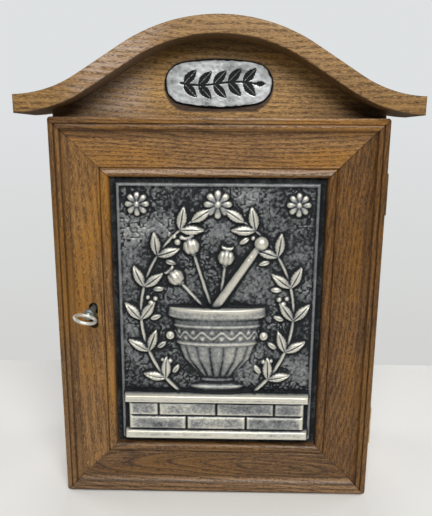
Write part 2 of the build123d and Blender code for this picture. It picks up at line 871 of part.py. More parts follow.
def relief_panel():
    flange = block(-panel_half_width, panel_half_width, panel_plane, panel_plane + flange_thickness,
                   door_middle - panel_half_height, door_middle + panel_half_height)
    art = pad(-art_half_width, art_half_width, -art_half_height, art_half_height, rim_height, 0.9)
    art -= slab(-picture_half_width, picture_half_width, -picture_half_height, picture_half_height,
                rim_height + 1, ground_height)
    x, z = picture_half_width - rosette_inset, picture_half_height - rosette_inset
    flowers = [rosette(-x, z, rosette_radius), rosette(x, z, rosette_radius), rosette(0, z, crown_flower_radius)]
    panel = flange + art
    for piece in plinth_pieces() + branch_pieces() + mortar_pieces() + flowers:
        panel += piece
    return panel


# Hinges

def leaf_mortise(middle, near, direction):
    """Recess for a hinge leaf, from the leaf's inner face into the wood."""
    x0 = inner_half + leaf_margin - fit
    far = near + direction * leaf_thickness
    y0, y1 = min(near - direction * 2, far), max(near - direction * 2, far)
    return block(x0, half_width + 5, y0, y1, middle - leaf_height / 2 - fit, middle + leaf_height / 2 + fit)


def hinge_leaf(middle, direction, spans):
    """A leaf and its knuckles: direction is 1 on the case and -1 on the door."""
    near = hinge_y + direction * leaf_clearance / 2
    far = near + direction * leaf_thickness
    x0 = inner_half + leaf_margin
    low, high = middle - leaf_height / 2, middle + leaf_height / 2
    leaf = block(x0, hinge_x - knuckle_radius - knuckle_gap, min(near, far), max(near, far), low, high)
    for z0, z1 in spans:
        leaf += block(hinge_x - knuckle_radius - 1, hinge_x - knuckle_bore - knuckle_gap,
                      min(near, far), max(near, far), z0, z1)
        leaf += Pos(hinge_x, hinge_y, (z0 + z1) / 2) * Cylinder(knuckle_radius, z1 - z0)
    leaf -= Pos(hinge_x, hinge_y, middle) * Cylinder(knuckle_bore, leaf_height + 2)
    for x, z in hinge_screw_places(middle):
        leaf -= screw_hole((x, near, z), (0, direction, 0))
    return leaf


def knuckle_spans(middle):
    low, high = middle - leaf_height / 2, middle + leaf_height / 2
    case = ((low, low + case_knuckle), (high - case_knuckle, high))
    door = ((low + case_knuckle + knuckle_gap, high - case_knuckle - knuckle_gap),)
    return case, door


def hinge_pin(middle):
    top = middle + leaf_height / 2
    return turned((hinge_x, hinge_y, top + pin_head_height), (0, 0, -1), [
        (pin_head_radius, 0),
        (pin_head_radius, pin_head_height),
        (hinge_pin_radius, pin_head_height),
        (hinge_pin_radius, pin_head_height + leaf_height),
    ])


# Lock

def key_channel(radius, half_slot, reach, y0, y1):
    """Keyhole of the lock plate: a round hole with the bit's slot below it."""
    hole = rod((key_x, y0, key_height), (0, 1, 0), radius, y1 - y0)
    return hole + block(key_x - half_slot, key_x + half_slot, y0, y1, key_height - reach, key_height)


def lock_plate():
    plate = block(lock_left, lock_right, door_back, plate_back,
                  key_height - lock_plate_half, key_height + lock_plate_half)
    plate = fillet(plate.edges().filter_by(Axis.Y), 2.0)
    plate -= key_channel(shank_radius + 0.3, bit_thickness / 2 + 0.4, bit_radius + 0.6,
                         door_back - 1, plate_back + 1)
    for place in lock_screw_places():
        plate -= screw_hole(place, (0, -1, 0))
    return plate


def lock_case():
    """Tray over the works, open towards the plate, with the post that guides the bolt."""
    low, high = key_height - lock_case_half, key_height + lock_case_half
    case = block(lock_left, lock_right, plate_back, lock_back, low, high)
    case = fillet(case.edges().filter_by(Axis.Y), 1.5)
    case -= block(lock_left + lock_wall, lock_right - lock_wall, plate_back - 1, cavity_floor,
                  low + lock_wall, high - lock_wall)
    case -= block(lock_left - 1, lock_left + lock_wall + 1, bolt_y0 - bolt_play, bolt_y1 + bolt_play,
                  bolt_low - bolt_play, bolt_high + bolt_play)
    case += rod((stump_x, cavity_floor + 0.5, (slot_low + slot_high) / 2), (0, -1, 0), stump_radius,
                bolt_to_floor + bolt_thickness + 1.2)
    case -= rod((key_x, lock_back + 1, key_height), (0, -1, 0), drill_pin_radius + 0.02, lock_wall + 2)
    return case


def drill_pin():
    """Pin on which the hollow key turns, riveted into the case."""
    return rod((key_x, lock_back, key_height), (0, -1, 0), drill_pin_radius, lock_depth + 6.0)


def lock_bolt():
    """Bolt drawn back, with the slot for its guide post and the notch that the bit drives."""
    body = block(bolt_left, bolt_right, bolt_y0, bolt_y1, bolt_low, bolt_high)
    body = chamfer(body.edges().filter_by(Axis.Z).sort_by(Axis.X)[:1], 1.0)
    entry = asin(bolt_above_key / bit_radius)
    reach = sqrt(bit_radius ** 2 - bolt_above_key ** 2) + bit_thickness / 2 * sin(entry) + bolt_play
    first = bolt_throw * (degrees(entry) + key_tilt) / key_turn
    last = bolt_throw * (180 - degrees(entry) + key_tilt) / key_turn
    notch_top = key_height + bit_radius + bolt_play
    body -= block(key_x - reach + last, key_x + reach + first, bolt_y0 - 1, bolt_y1 + 1, bolt_low - 1, notch_top)
    slot = block(stump_x, stump_x + bolt_throw, bolt_y0 - 1, bolt_y1 + 1, slot_low, slot_high)
    for x in (stump_x, stump_x + bolt_throw):
        slot += rod((x, bolt_y0 - 1, (slot_low + slot_high) / 2), (0, 1, 0),
                    (slot_high - slot_low) / 2, bolt_thickness + 2)
    return body - slot


def bolt_spring():
    """Leaf spring over the bolt, held at the right wall of the case."""
    wall = lock_right - lock_wall
    y0, y1 = bolt_y0 + spring_inset, bolt_y1 - spring_inset
    base = bolt_high + bolt_play
    bend, end, leaf = wall - spring_bend, wall - spring_reach, spring_leaf
    line = [
        (wall, base + spring_foot), (wall - leaf, base + spring_foot), (wall - leaf, base + spring_rise + leaf),
        (bend, base + leaf), (end, base + spring_rise), (end + leaf, base + spring_rise - leaf),
        (bend, base), (wall, base + spring_rise),
    ]
    plane = Plane(origin=(0, y0, 0), x_dir=(1, 0, 0), z_dir=(0, -1, 0))
    return extrude(plane * make_face(Polyline(*line, close=True)), amount=-(y1 - y0))


def strike_recess():
    """Shallow bed for the strike plate and the mortise for the bolt."""
    y = (bolt_y0 + bolt_y1) / 2
    bed = block(-inner_half - strike_thickness, -inner_half + 1,
                y - strike_width / 2 - fit, y + strike_width / 2 + fit,
                strike_middle - strike_height / 2 - fit, strike_middle + strike_height / 2 + fit)
    return bed + bolt_pocket(mortise_depth)


def bolt_pocket(depth):
    return block(-inner_half - depth, -inner_half + 1, bolt_y0 - strike_play, bolt_y1 + strike_play,
                 bolt_low - strike_play, bolt_high + strike_play)


def strike_plate():
    y = (bolt_y0 + bolt_y1) / 2
    plate = block(-inner_half - strike_thickness, -inner_half, y - strike_width / 2, y + strike_width / 2,
                  strike_middle - strike_height / 2, strike_middle + strike_height / 2)
    plate -= bolt_pocket(mortise_depth)
    for place in strike_screw_places():
        plate -= screw_hole(place, (-1, 0, 0))
    return plate


# Key

def key():
    """Hollow key with an oval bow, a collar and a stepped bit, modelled along y and then tilted."""
    tip = cavity_floor - 0.3
    bow_y = door_front - bow_centre
    shank_end = bow_y + bow_radius
    shank = rod((0, tip, 0), (0, -1, 0), shank_radius, tip - shank_end)
    bow = Pos(0, bow_y, 0) * Torus(bow_radius, bow_wire)
    collar = turned((0, door_front - collar_start, 0), (0, -1, 0), [
        (collar_radius * 0.75, 0),
        (collar_radius, 0.9),
        (collar_radius, collar_end - collar_start - 0.9),
        (collar_radius * 0.75, collar_end - collar_start),
    ])
    bit_y1 = cavity_floor - bit_floor_gap
    bit = block(0, bit_radius, bit_y1 - bit_width, bit_y1, -bit_thickness / 2, bit_thickness / 2)
    bit &= rod((0, bit_y1 + 1, 0), (0, -1, 0), bit_radius, bit_width + 2)
    bit -= block(shank_radius + 1.6, shank_radius + 3.6, bit_y1 - bit_width / 2 - ward_slot / 2,
                 bit_y1 - bit_width / 2 + ward_slot / 2, -bit_thickness, bit_thickness)
    body = shank + bow + collar + bit
    body -= rod((0, tip + 1, 0), (0, -1, 0), shank_bore, shank_bore_depth + 1)
    return Pos(key_x, 0, key_height) * Rot(0, key_tilt, 0) * body


# Write every piece

write("side_left", carcass_side(-1))
write("side_right", carcass_side(1))
write("bottom_board", carcass_end(0))
write("top_board", carcass_end(cabinet_height - board))
write("back_panel", back_panel())
write("hanging_rail", hanging_rail())
write_group("carcass_tongues", tongue_solids())
write("shelf_lower", shelf(shelf_heights[0]))
write("shelf_upper", shelf(shelf_heights[1]))
write_group("shelf_pins", [shelf_pin(*place) for place in shelf_pin_places()])
write("pediment_board", pediment_board())
write_group("pediment_blocks", pediment_blocks())
write("arch_cornice", arch_cornice())
write("pediment_plaque", plaque())
write("hanger_plate_left", hanger_plate(-1))
write("hanger_plate_right", hanger_plate(1))
write_group("hanger_screws", [screw(place, (0, -1, 0)) for side in (-1, 1) for place in hanger_screw_places(side)])
write("strike_plate", strike_plate())
write_group("strike_screws", [screw(place, (-1, 0, 0)) for place in strike_screw_places()])

for level, middle in zip(("lower", "upper"), hinge_middles()):
    case_spans, door_spans = knuckle_spans(middle)
    write(f"hinge_leaf_case_{level}", hinge_leaf(middle, 1, case_spans))
    write(f"hinge_leaf_door_{level}", hinge_leaf(middle, -1, door_spans))
    write(f"hinge_pin_{level}", hinge_pin(middle))
for body_name, direction in (("case", 1), ("door", -1)):
    surface = hinge_y + direction * leaf_clearance / 2
    write_group(f"hinge_screws_{body_name}", [
        screw((x, surface, z), (0, direction, 0)) for middle in hinge_middles() for x, z in hinge_screw_places(middle)
    ])

for name in ("door_stile_left", "door_stile_right", "door_rail_top", "door_rail_bottom"):
    write(name, door_member(name))
write_group("mitre_splines", spline_solids())
write("relief_panel", relief_panel())
write("panel_backing", block(-panel_half_width, panel_half_width, panel_plane + flange_thickness, door_back,
                             door_middle - panel_half_height, door_middle + panel_half_height))
write_group("turn_clips", [turn_clip(place, toward) for place, toward in clip_places()])
write_group("clip_screws", [screw((x, door_back + clip_thickness, z), (0, -1, 0)) for (x, z), _ in clip_places()])

write("lock_plate", lock_plate())
write("lock_case", lock_case())
write("lock_drill_pin", drill_pin())
write_group("lock_screws", [screw(place, (0, -1, 0)) for place in lock_screw_places()])
write("lock_spring", bolt_spring())
write("lock_bolt", lock_bolt())
write("key", key())
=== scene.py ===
from math import atan2, cos, hypot, pi, radians, sin

import bmesh
import bpy
import numpy as np
from mathutils import Matrix, Vector


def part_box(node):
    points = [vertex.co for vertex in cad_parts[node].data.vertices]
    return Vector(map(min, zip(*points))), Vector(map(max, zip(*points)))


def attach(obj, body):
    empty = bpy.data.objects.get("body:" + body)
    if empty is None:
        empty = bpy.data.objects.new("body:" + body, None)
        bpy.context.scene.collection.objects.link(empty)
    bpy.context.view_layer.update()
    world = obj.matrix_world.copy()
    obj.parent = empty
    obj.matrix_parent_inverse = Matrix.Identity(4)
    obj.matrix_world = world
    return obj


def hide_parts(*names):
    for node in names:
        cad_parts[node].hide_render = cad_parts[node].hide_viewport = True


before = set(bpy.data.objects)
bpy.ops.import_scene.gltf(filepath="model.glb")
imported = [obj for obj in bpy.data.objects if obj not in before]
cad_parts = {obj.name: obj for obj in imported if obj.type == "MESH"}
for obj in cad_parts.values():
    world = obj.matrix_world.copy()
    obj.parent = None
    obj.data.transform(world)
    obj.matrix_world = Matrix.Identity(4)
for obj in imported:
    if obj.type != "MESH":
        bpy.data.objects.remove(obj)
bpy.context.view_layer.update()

# Lengths are in metres. The relief, plaque, key and screws are drawn in millimetres.
MM = 0.001

# Camera, at the photograph's place
camera_place = (0.0072, -0.6077, 0.3762)
camera_pitch = 12.5          # degrees below level
camera_turn = 0.93           # to the left
camera_roll = 0.39
camera_lens = 38.37

# Floor, in front of the world's pale wall
floor_half = 0.95
floor_front = -0.75
floor_back = 0.267           # where the table in the photograph meets the wall behind it

# Door, from the frame
door_low, door_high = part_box("door_stile_left")
door_half_width = -door_low.x
door_middle = (door_low.z + door_high.z) / 2
door_half_height = (door_high.z - door_low.z) / 2

# Key, from the frame: it turns about this axis
key_x = -0.1244
key_z = 0.206

# Plaque, from the frame: its box also holds the studs that go into the pediment board
plaque_low, plaque_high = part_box("pediment_plaque")
plaque_half_width = (plaque_high.x - plaque_low.x) / 2
plaque_half_height = (plaque_high.z - plaque_low.z) / 2
plaque_middle = (plaque_high.z + plaque_low.z) / 2
plaque_studs = 5 * MM
plaque_seat = plaque_high.y - plaque_studs   # the front face of the pediment board

# Relief, in millimetres from the picture's centre; heights are above the front of its flange
panel_low, panel_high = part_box("relief_panel")
flange_thickness = 2.5
flange_front = panel_high.y - flange_thickness * MM
art_half_width = 99.0
art_half_height = 135.0
rim_width = 3.5
rim_height = 4.6
ground_height = 3.0
relief_step = 0.76           # size of the cells of the relief's grid
grid_margin = 0.2            # how far the grid reaches past the artwork
soften_reach = 0.45          # in cells
near_reach = 2.4             # what stands out over these two reaches is worn bright
wide_reach = 9.0
picture_half_width = art_half_width - rim_width
picture_half_height = art_half_height - rim_width
absent = -9.0                # a height below every form, where a form isn't


# Wires and boards: a material's nodes as sums

def operation(name):
    """A method that joins a wire, and what it is combined with, to a Math node."""
    def combine(wire, *others):
        return wire.board.node("Math", {"operation": name}, dict(enumerate((wire, *others))))
    return combine


class Wire:
    """An output of a material's node, with the sums that these materials use."""

    __add__ = __radd__ = operation("ADD")
    __sub__ = operation("SUBTRACT")
    __mul__ = __rmul__ = operation("MULTIPLY")
    __truediv__ = operation("DIVIDE")
    __abs__ = operation("ABSOLUTE")
    fraction = operation("FRACT")
    least = operation("MINIMUM")
    most = operation("MAXIMUM")
    root = operation("SQRT")

    def __init__(self, board, node, output=0):
        self.board, self.node, self.output = board, node, output

    def __rsub__(self, other):
        return self.board.node("Math", {"operation": "SUBTRACT"}, {0: other, 1: self})

    @property
    def socket(self):
        return self.node.outputs[self.output]

    def other(self, output):
        return Wire(self.board, self.node, output)

    def span(self, across):
        """Distance, from its two parts."""
        return (self * self + across * across).root()

    def step(self, low, high):
        """Rises smoothly from 0 at low to 1 at high."""
        return self.board.node("MapRange", {"interpolation_type": "SMOOTHSTEP"},
                               {0: self, 1: low, 2: high, 3: 0.0, 4: 1.0})


class Board:
    """A material, or the world, under construction."""

    def __init__(self, owner):
        self.owner = owner
        owner.use_nodes = True
        self.nodes, self.links = owner.node_tree.nodes, owner.node_tree.links
        self.nodes.clear()

    def node(self, kind, settings=None, inputs=None):
        made = self.nodes.new("ShaderNode" + kind)
        for key, value in (settings or {}).items():
            if key == "stops":
                for stop, (at, shade) in zip(made.color_ramp.elements, value):
                    stop.position, stop.color = at, (*shade, 1)
            else:
                setattr(made, key, value)
        for key, value in (inputs or {}).items():
            socket = made.inputs[key]
            if isinstance(value, Wire):
                self.links.new(value.socket, socket)
            elif hasattr(value, "__len__") and len(socket.default_value) == 4 and len(value) == 3:
                socket.default_value = (*value, 1)
            else:
                socket.default_value = value
        return Wire(self, made)

    def place(self):
        """The three coordinates of a point, where it lies at rest."""
        spot = self.node("TexCoord").other(3)
        parts = self.node("SeparateXYZ", inputs={0: spot})
        return parts, parts.other(1), parts.other(2)

    def noise(self, x, y, z, scale=1.0, detail=2.0, rough=0.5):
        spot = self.node("CombineXYZ", inputs={0: x, 1: y, 2: z})
        return self.node("TexNoise", inputs={
            "Vector": spot, "Scale": scale, "Detail": detail, "Roughness": rough})

    def mark(self, name):
        """A value kept on the mesh's points."""
        return self.node("Attribute", {"attribute_name": name}).other(2)

    def mix(self, factor, first, second):
        return self.node("Mix", {"data_type": "RGBA"}, {0: factor, 6: first, 7: second}).other(2)

    def bump(self, height):
        """A surface raised by a height in metres."""
        return self.node("Bump", inputs={"Strength": 1.0, "Distance": 1.0, "Height": height})

    def finish(self, inputs):
        self.node("OutputMaterial", inputs={"Surface": self.node("BsdfPrincipled", inputs=inputs)})
        return self.owner


def new_board(name):
    return Board(bpy.data.materials.new(name))


# Wood

# Each oak has its light and dark wood, its pores and the amber of its richer patches
cornice_oak = ((0.385, 0.220, 0.075), (0.182, 0.091, 0.026), (0.034, 0.015, 0.005), (0.315, 0.158, 0.028))
pediment_oak = ((0.520, 0.306, 0.106), (0.245, 0.128, 0.038), (0.028, 0.012, 0.004), (0.480, 0.250, 0.050))
stile_oak = ((0.345, 0.184, 0.060), (0.150, 0.066, 0.018), (0.032, 0.012, 0.004), (0.390, 0.172, 0.020))
dark_oak = ((0.228, 0.108, 0.027), (0.086, 0.035, 0.008), (0.020, 0.007, 0.002), (0.240, 0.104, 0.010))
rail_oak = ((0.230, 0.122, 0.046), (0.080, 0.036, 0.012), (0.020, 0.008, 0.003), (0.210, 0.100, 0.022))
case_oak = ((0.330, 0.180, 0.070), (0.170, 0.082, 0.028), (0.030, 0.013, 0.005), (0.300, 0.145, 0.034))
plywood = ((0.44, 0.265, 0.115), (0.235, 0.125, 0.050))
# Tint of the painted sheen on the cornice and pediment, and of the painted highlight on the top rail
sheen_tint = (0.56, 0.42, 0.32)
# Tint of the painted highlight on the bottom rail's outer moulding
warm_highlight_tint = (0.46, 0.27, 0.13)
ring_width = 4.2 * MM
bead_line = 6.2 * MM         # the door moulding's grooves, from the outer edge
slope_line = 11.6 * MM
field_line = 17.4 * MM
quirk_line = 46.9 * MM
sight_line = 55.5 * MM
field_face = door_low.y + 4.5 * MM       # the flat field of the door's members
groove_darkening_end = door_high.y - 7 * MM         # Stain and painted shade in the grooves end here, short of the door's back
keyhole_half_width = 4.6 * MM
keyhole_half_height = 15.0 * MM
keyhole_drop = 7 * MM        # its middle, below the key's axis
plaque_shadow_reach = 2.8 * MM       # how far the painted shadow under the plaque reaches

# The nails of the back panel, around its edges
back_low, back_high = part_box("back_panel")
back_middle = (back_low.z + back_high.z) / 2
brad_inset = 4 * MM
brad_side = back_high.x - brad_inset
brad_rise = (back_high.z - back_low.z) / 2 - brad_inset
brad_pitch = 62 * MM
brad_radius = 0.9 * MM
brad_blur = 0.3 * MM
brad_grey = (0.30, 0.29, 0.28)


def moulding_stain_and_shade(board):
    """Stain and painted shade on the moulding's outer bands and, from the front, in its grooves; dark joint
    lines in its mitres.
    """
    x, y, z = board.place()
    inset_x = door_half_width - abs(x)
    inset_z = door_half_height - abs(z - door_middle)
    inset = inset_x.least(inset_z)
    front = 1 - y.step(groove_darkening_end, groove_darkening_end + 3 * MM)
    right = x.step(-0.10, 0.10)
    # Stain and painted shade on the outer bands, weaker on the right
    stain_and_shade = (0.40 - right * 0.24) * (1 - inset.step(field_line - 2 * MM, field_line + 3 * MM))
    # Stain and painted shade along the grooves, seen from the front
    for at, width, weight in ((bead_line, 1.1, 0.6), (slope_line, 1.6, 0.6), (field_line, 2.0, 0.5),
                              (quirk_line, 1.0, 0.9 - right * 0.6), (sight_line, 2.2, 0.7)):
        line = (1 - abs(inset - at) / (width * MM)).most(0.0)
        stain_and_shade = stain_and_shade + line * weight * front
    mitre = 1 - abs(inset_x - inset_z).step(0.5 * MM, 1.5 * MM)
    return stain_and_shade + mitre * 0.55


def keyhole_and_moulding_shade(board):
    """Stain and painted shade on the moulding, and painted black shade inside the keyhole."""
    x, y, z = board.place()
    # Painted black shade inside the keyhole
    beside = 1 - (abs(x - key_x) / keyhole_half_width).step(0.96, 1.10)
    level = 1 - (abs(z - key_z + keyhole_drop) / keyhole_half_height).step(1.0, 1.1)
    inside = y.step(field_face + 0.4 * MM, field_face + 1.6 * MM)
    return moulding_stain_and_shade(board) + 1.4 * beside * level * inside


def painted_corner_shade(board):
    """Painted shade where ambient occlusion finds a nearby board, painted shade under the crown, and a
    painted shadow along the plaque's lower edge.
    """
    # Painted shade: darker where ambient occlusion finds a nearby board
    nook = board.node("AmbientOcclusion", {"samples": 8}, {"Distance": 0.045}).other(1)
    x, y, z = board.place()
    beyond = (abs(x) - (plaque_half_width - plaque_half_height)).most(0.0)
    below = z - plaque_middle + plaque_shadow_reach
    reach = beyond.span(below) - plaque_half_height
    corner = (1 - nook).step(0.34, 0.82) * (0.70 + x.step(-0.145, -0.090) * 0.55)
    # Painted shade, darker up towards the crown
    crown = z.step(plaque_high.z, plaque_high.z + 13 * MM) * 0.50
    # Painted shadow under the plaque's lower edge
    front = 1 - y.step(plaque_seat + 1 * MM, plaque_seat + 3 * MM)
    return corner + crown + 1.2 * front * (1 - reach.step(-0.6 * MM, 1.8 * MM))


def painted_underside_shade(board):
    """Painted shade on the faces that look down."""
    normal = board.node("NewGeometry").other(1)
    down = 0 - board.node("SeparateXYZ", inputs={0: normal}).other(2)
    # Painted shade: the more a face looks down, the darker it is
    return down.step(0.15, 0.75) * 0.85


def oak(name, colours, along="X", seed=0.0, heart=(0.05, 0.06), tilt=0.05, rise=0.0, figure=0.2,
        darkening=None, gloss=0.12, painted_sheen=None, painted_highlight=None):
    """Oak whose rings, fibres and pores run along one axis, through the solid wood.

    Its rings' heart leans by tilt and rise. The pale patch is a painted sheen, and the pale band along a rail
    is a painted highlight.
    """
    light, dark, pore, amber = colours
    board = new_board(name)
    x, y, z = board.place()
    run, across, deep = (x, z, y) if along == "X" else (z, x, y)
    run = run + seed

    def drawn(length, width, shift=0.0, detail=2.0, rough=0.5):
        """Noise drawn out along the grain; the larger the two numbers, the finer it is."""
        return board.noise(run * length, across * width, deep * width + shift, 1.0, detail, rough)

    sway = drawn(3.5, 11, seed) - 0.5
    ripple = drawn(26, 70) - 0.5
    side = across - heart[0] + run * tilt + sway * 0.036 + ripple * 0.0030
    depth = deep - heart[1] + run * rise + sway * 0.014
    year = (side.span(depth) / ring_width).fraction()
    early = (1 - year.step(0.10, 0.62)).most(year.step(0.90, 1.0))
    seam = year.step(0.72, 0.90) * (1 - year.step(0.92, 1.0))
    patch = drawn(9, 30, detail=3)
    glow = drawn(8, 28, 5.0).step(0.46, 0.66)
    fibre = drawn(200, 860, detail=3, rough=0.65)
    streak = drawn(42, 420, 9.0)
    short = drawn(400, 1100, detail=1).step(0.49, 0.59)
    long = drawn(210, 1000, 3.0, detail=1).step(0.53, 0.62)
    pores = (short * 0.85).most(long) * (0.35 + 0.65 * early)
    shade = early * 0.16 + (patch - 0.5) * 1.4 + (fibre - 0.5) * 3.1 + (streak - 0.5) * 1.5 + 0.34
    colour = board.mix(shade.most(0.0).least(1.0), light, dark)
    colour = board.mix(glow * 0.62, colour, amber)
    # A painted sheen: a pale patch of reflected light
    if painted_sheen:
        middle, reach, strength = painted_sheen
        pale = (1 - (abs(x - middle) / reach).step(0.2, 1.0)) * streak.step(0.30, 0.62)
        colour = board.mix(pale * strength, colour, sheen_tint)
    # A painted highlight: a pale band along a rail's moulding
    if painted_highlight:
        start, end, strength, tint = painted_highlight
        inset = door_half_height - abs(z - door_middle)
        pale = inset.step(start - MM, start + MM) * (1 - inset.step(end - MM, end + MM))
        colour = board.mix(pale * strength, colour, tint)
    colour = board.mix((pores * 0.70 + seam * figure).least(1.0), colour, pore)
    # Stain and painted shade from the given function, mixed towards the pore colour
    if darkening:
        colour = board.mix((darkening(board) * 0.75).least(1.0), colour, pore)
    return board.finish({
        "Base Color": colour,
        "Roughness": 0.40 + pores * 0.24 + (fibre - 0.5) * 0.16,
        "Normal": board.bump(pores * -0.00016 + fibre * 0.00014 + streak * 0.00008),
        "Specular IOR Level": 0.35,
        "Coat Weight": gloss,
        "Coat Roughness": 0.30,
    })


def brads(board):
    """Heads of the small nails along the back panel's edges."""
    x, _, z = board.place()
    beside_x = ((x / brad_pitch).fraction() - 0.5) * brad_pitch
    beside_z = (((z - back_middle) / brad_pitch).fraction() - 0.5) * brad_pitch
    from_side = abs(x) - brad_side
    from_end = abs(z - back_middle) - brad_rise
    nearest = from_side.span(beside_z).least(from_end.span(beside_x))
    return 1 - nearest.step(brad_radius, brad_radius + brad_blur)


def plain_wood(name, light, dark, along="X", seed=0.0, nails=None):
    """Beech or plywood: close, even grain."""
    board = new_board(name)
    x, y, z = board.place()
    run, across, deep = (x, z, y) if along == "X" else (z, x, y)
    sway = board.noise(run * 4 + seed, across * 9, deep * 9) - 0.5
    figure = board.noise(run * 3 + seed, (across + sway * 0.05) * 60, deep * 60, detail=3)
    fibre = board.noise(run * 30 + seed, across * 520, deep * 520, detail=3)
    pores = board.noise(run * 150, across * 800, deep * 800, detail=1).step(0.56, 0.66)
    shade = ((figure - 0.5) * 2.6 + (fibre - 0.5) * 1.6 + pores * 0.5 + 0.4).most(0.0).least(1.0)
    colour = board.mix(shade, light, dark)
    metal = 0.0
    if nails:
        metal = nails(board)
        colour = board.mix(metal, colour, brad_grey)
    return board.finish({
        "Base Color": colour,
        "Metallic": metal,
        "Roughness": 0.62 + (fibre - 0.5) * 0.2,
        "Normal": board.bump(fibre * 0.00005 + pores * -0.00004),
    })


# Metals

def worn_metal(name, bright, dull, rough, scale=260.0):
    """Bare or plated metal with faint handling marks."""
    board = new_board(name)
    x, y, z = board.place()
    cloud = board.noise(x, y, z, scale=scale * 0.25, detail=3)
    marks = board.noise(x, y, z, scale=scale * 4, detail=2)
    return board.finish({
        "Base Color": board.mix(cloud.step(0.35, 0.7), bright, dull),
        "Metallic": 1.0,
        "Roughness": rough + (cloud - 0.5) * 0.25 + (marks - 0.5) * 0.15,
        "Normal": board.bump(marks * 0.00001),
    })


def pewter(name, bright, middle, dark, relief=1.0):
    """Cast pewter, darkened in its hollows and worn bright on what stands out."""
    board = new_board(name)
    x, y, z = board.place()
    wear = board.mark("wear")
    ink = board.mark("ink").step(0.05, 0.65)
    grit = board.noise(x, y, z, scale=900, detail=4, rough=0.7)
    blot = board.noise(x, y, z, scale=260, detail=3)
    cloud = board.noise(x, y, z, scale=60, detail=3)
    rub = wear + (grit - 0.5) * 0.46 + (blot - 0.5) * 0.30 + (cloud - 0.5) * 0.30
    clean = rub.step(0.20, 0.62)
    shine = rub.step(0.52, 0.95)
    colour = board.mix(clean, dark, middle)
    colour = board.mix(shine, colour, bright)
    colour = board.mix(ink, colour, dark)
    kept = clean * (1 - ink)
    return board.finish({
        "Base Color": colour,
        "Metallic": 0.08 + kept * 0.42,
        "Roughness": 0.62 - kept * 0.12 - shine * 0.10,
        "Specular IOR Level": 0.22,
        "Normal": board.bump(grit * (0.00018 * relief) + blot * (0.00030 * relief)),
    })


def key_metal(name):
    """Nickel plate, bright on the bow and grey towards the lock."""
    board = new_board(name)
    x, y, z = board.place()
    marks = board.noise(x, y, z, scale=700, detail=3)
    inner = y.step(bow_y + 8 * MM, bow_y + 11 * MM)
    colour = board.mix(inner, (0.78, 0.77, 0.70), (0.20, 0.225, 0.225))
    colour = board.mix(marks.step(0.45, 0.75) * 0.35, colour, (0.16, 0.15, 0.13))
    return board.finish({
        "Base Color": colour,
        "Metallic": 0.65,
        "Roughness": 0.46 + (marks - 0.5) * 0.2,
        "Normal": board.bump(marks * 0.00002),
    })


def dress(material, *names):
    """Gives CAD nodes a finish."""
    for name in names:
        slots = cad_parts[name].data.materials
        if not slots:
            slots.append(material)
        for index in range(len(slots)):
            slots[index] = material


# Meshes

def ring_pairs(count):
    """Each place of a ring with the one that follows it."""
    return [(k, (k + 1) % count) for k in range(count)]


def new_mesh(name, points, faces):
    mesh = bpy.data.meshes.new(name)
    mesh.from_pydata(np.asarray(points).tolist(), [], faces)
    mesh.update()
    return mesh


def add_object(name, data):
    made = bpy.data.objects.new(name, data)
    bpy.context.scene.collection.objects.link(made)
    return made


def new_piece(name, mesh, material, body, sharp=40):
    """An object from a mesh, smooth but for its sharp edges, dressed and riding on a body."""
    piece = add_object(name, mesh)
    mesh.materials.append(material)
    mesh.shade_smooth()
    mesh.set_sharp_from_angle(angle=radians(sharp))
    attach(piece, body)
    return piece


def keep_marks(mesh, rear_count, wear, ink):
    """Keeps the wear and ink of a mesh's front points, and 0 for the rear ones that follow them."""
    for label, values in (("wear", wear), ("ink", ink)):
        kept = mesh.attributes.new(label, "FLOAT", "POINT")
        kept.data.foreach_set("value", np.append(values, np.zeros(rear_count)).astype(np.float32))


def blur(heights, reach):
    """Softens a grid of heights over a reach counted in cells."""
    pad = int(reach * 3) + 1
    wide = np.pad(heights, pad, mode="edge")
    rows, columns = (np.fft.fftfreq(n) for n in wide.shape)
    fall = np.exp(-2 * (pi * reach) ** 2 * (rows[:, None] ** 2 + columns[None, :] ** 2))
    soft = np.real(np.fft.ifft2(np.fft.fft2(wide) * fall))
    return soft[pad:-pad, pad:-pad]


def rough(x, z, cell, seed):
    """Smooth noise from 0 to 1 with bumps one cell wide."""
    lattice = np.random.default_rng(seed).random((512, 512))
    u, v = x / cell + 256, z / cell + 256
    i, j = np.floor(u).astype(int), np.floor(v).astype(int)
    a, b = u - i, v - j
    a, b = a * a * (3 - 2 * a), b * b * (3 - 2 * b)
    i, j = i % 511, j % 511
    low = lattice[i, j] * (1 - a) + lattice[i + 1, j] * a
    high = lattice[i, j + 1] * (1 - a) + lattice[i + 1, j + 1] * a
    return low * (1 - b) + high * b


def dimples(x, z, cell, seed):
    """Distance to the nearest of scattered hammer blows, over the cell."""
    rng = np.random.default_rng(seed)
    shift = rng.random((256, 256, 2))
    i, j = np.floor(x / cell).astype(int), np.floor(z / cell).astype(int)
    best = np.full(x.shape, 9.0)
    for di in (-1, 0, 1):
        for dj in (-1, 0, 1):
            spot = shift[(i + di) % 256, (j + dj) % 256]
            dx = (i + di + spot[..., 0]) * cell - x
            dz = (j + dj + spot[..., 1]) * cell - z
            best = np.minimum(best, np.hypot(dx, dz) / cell)
    return best


def ramp(value, low, high):
    """Rises smoothly from 0 at low to 1 at high."""
    t = np.clip((value - low) / (high - low), 0, 1)
    return t * t * (3 - 2 * t)


# Relief: each form yields its parts as heights over the flange, and the highest part shows

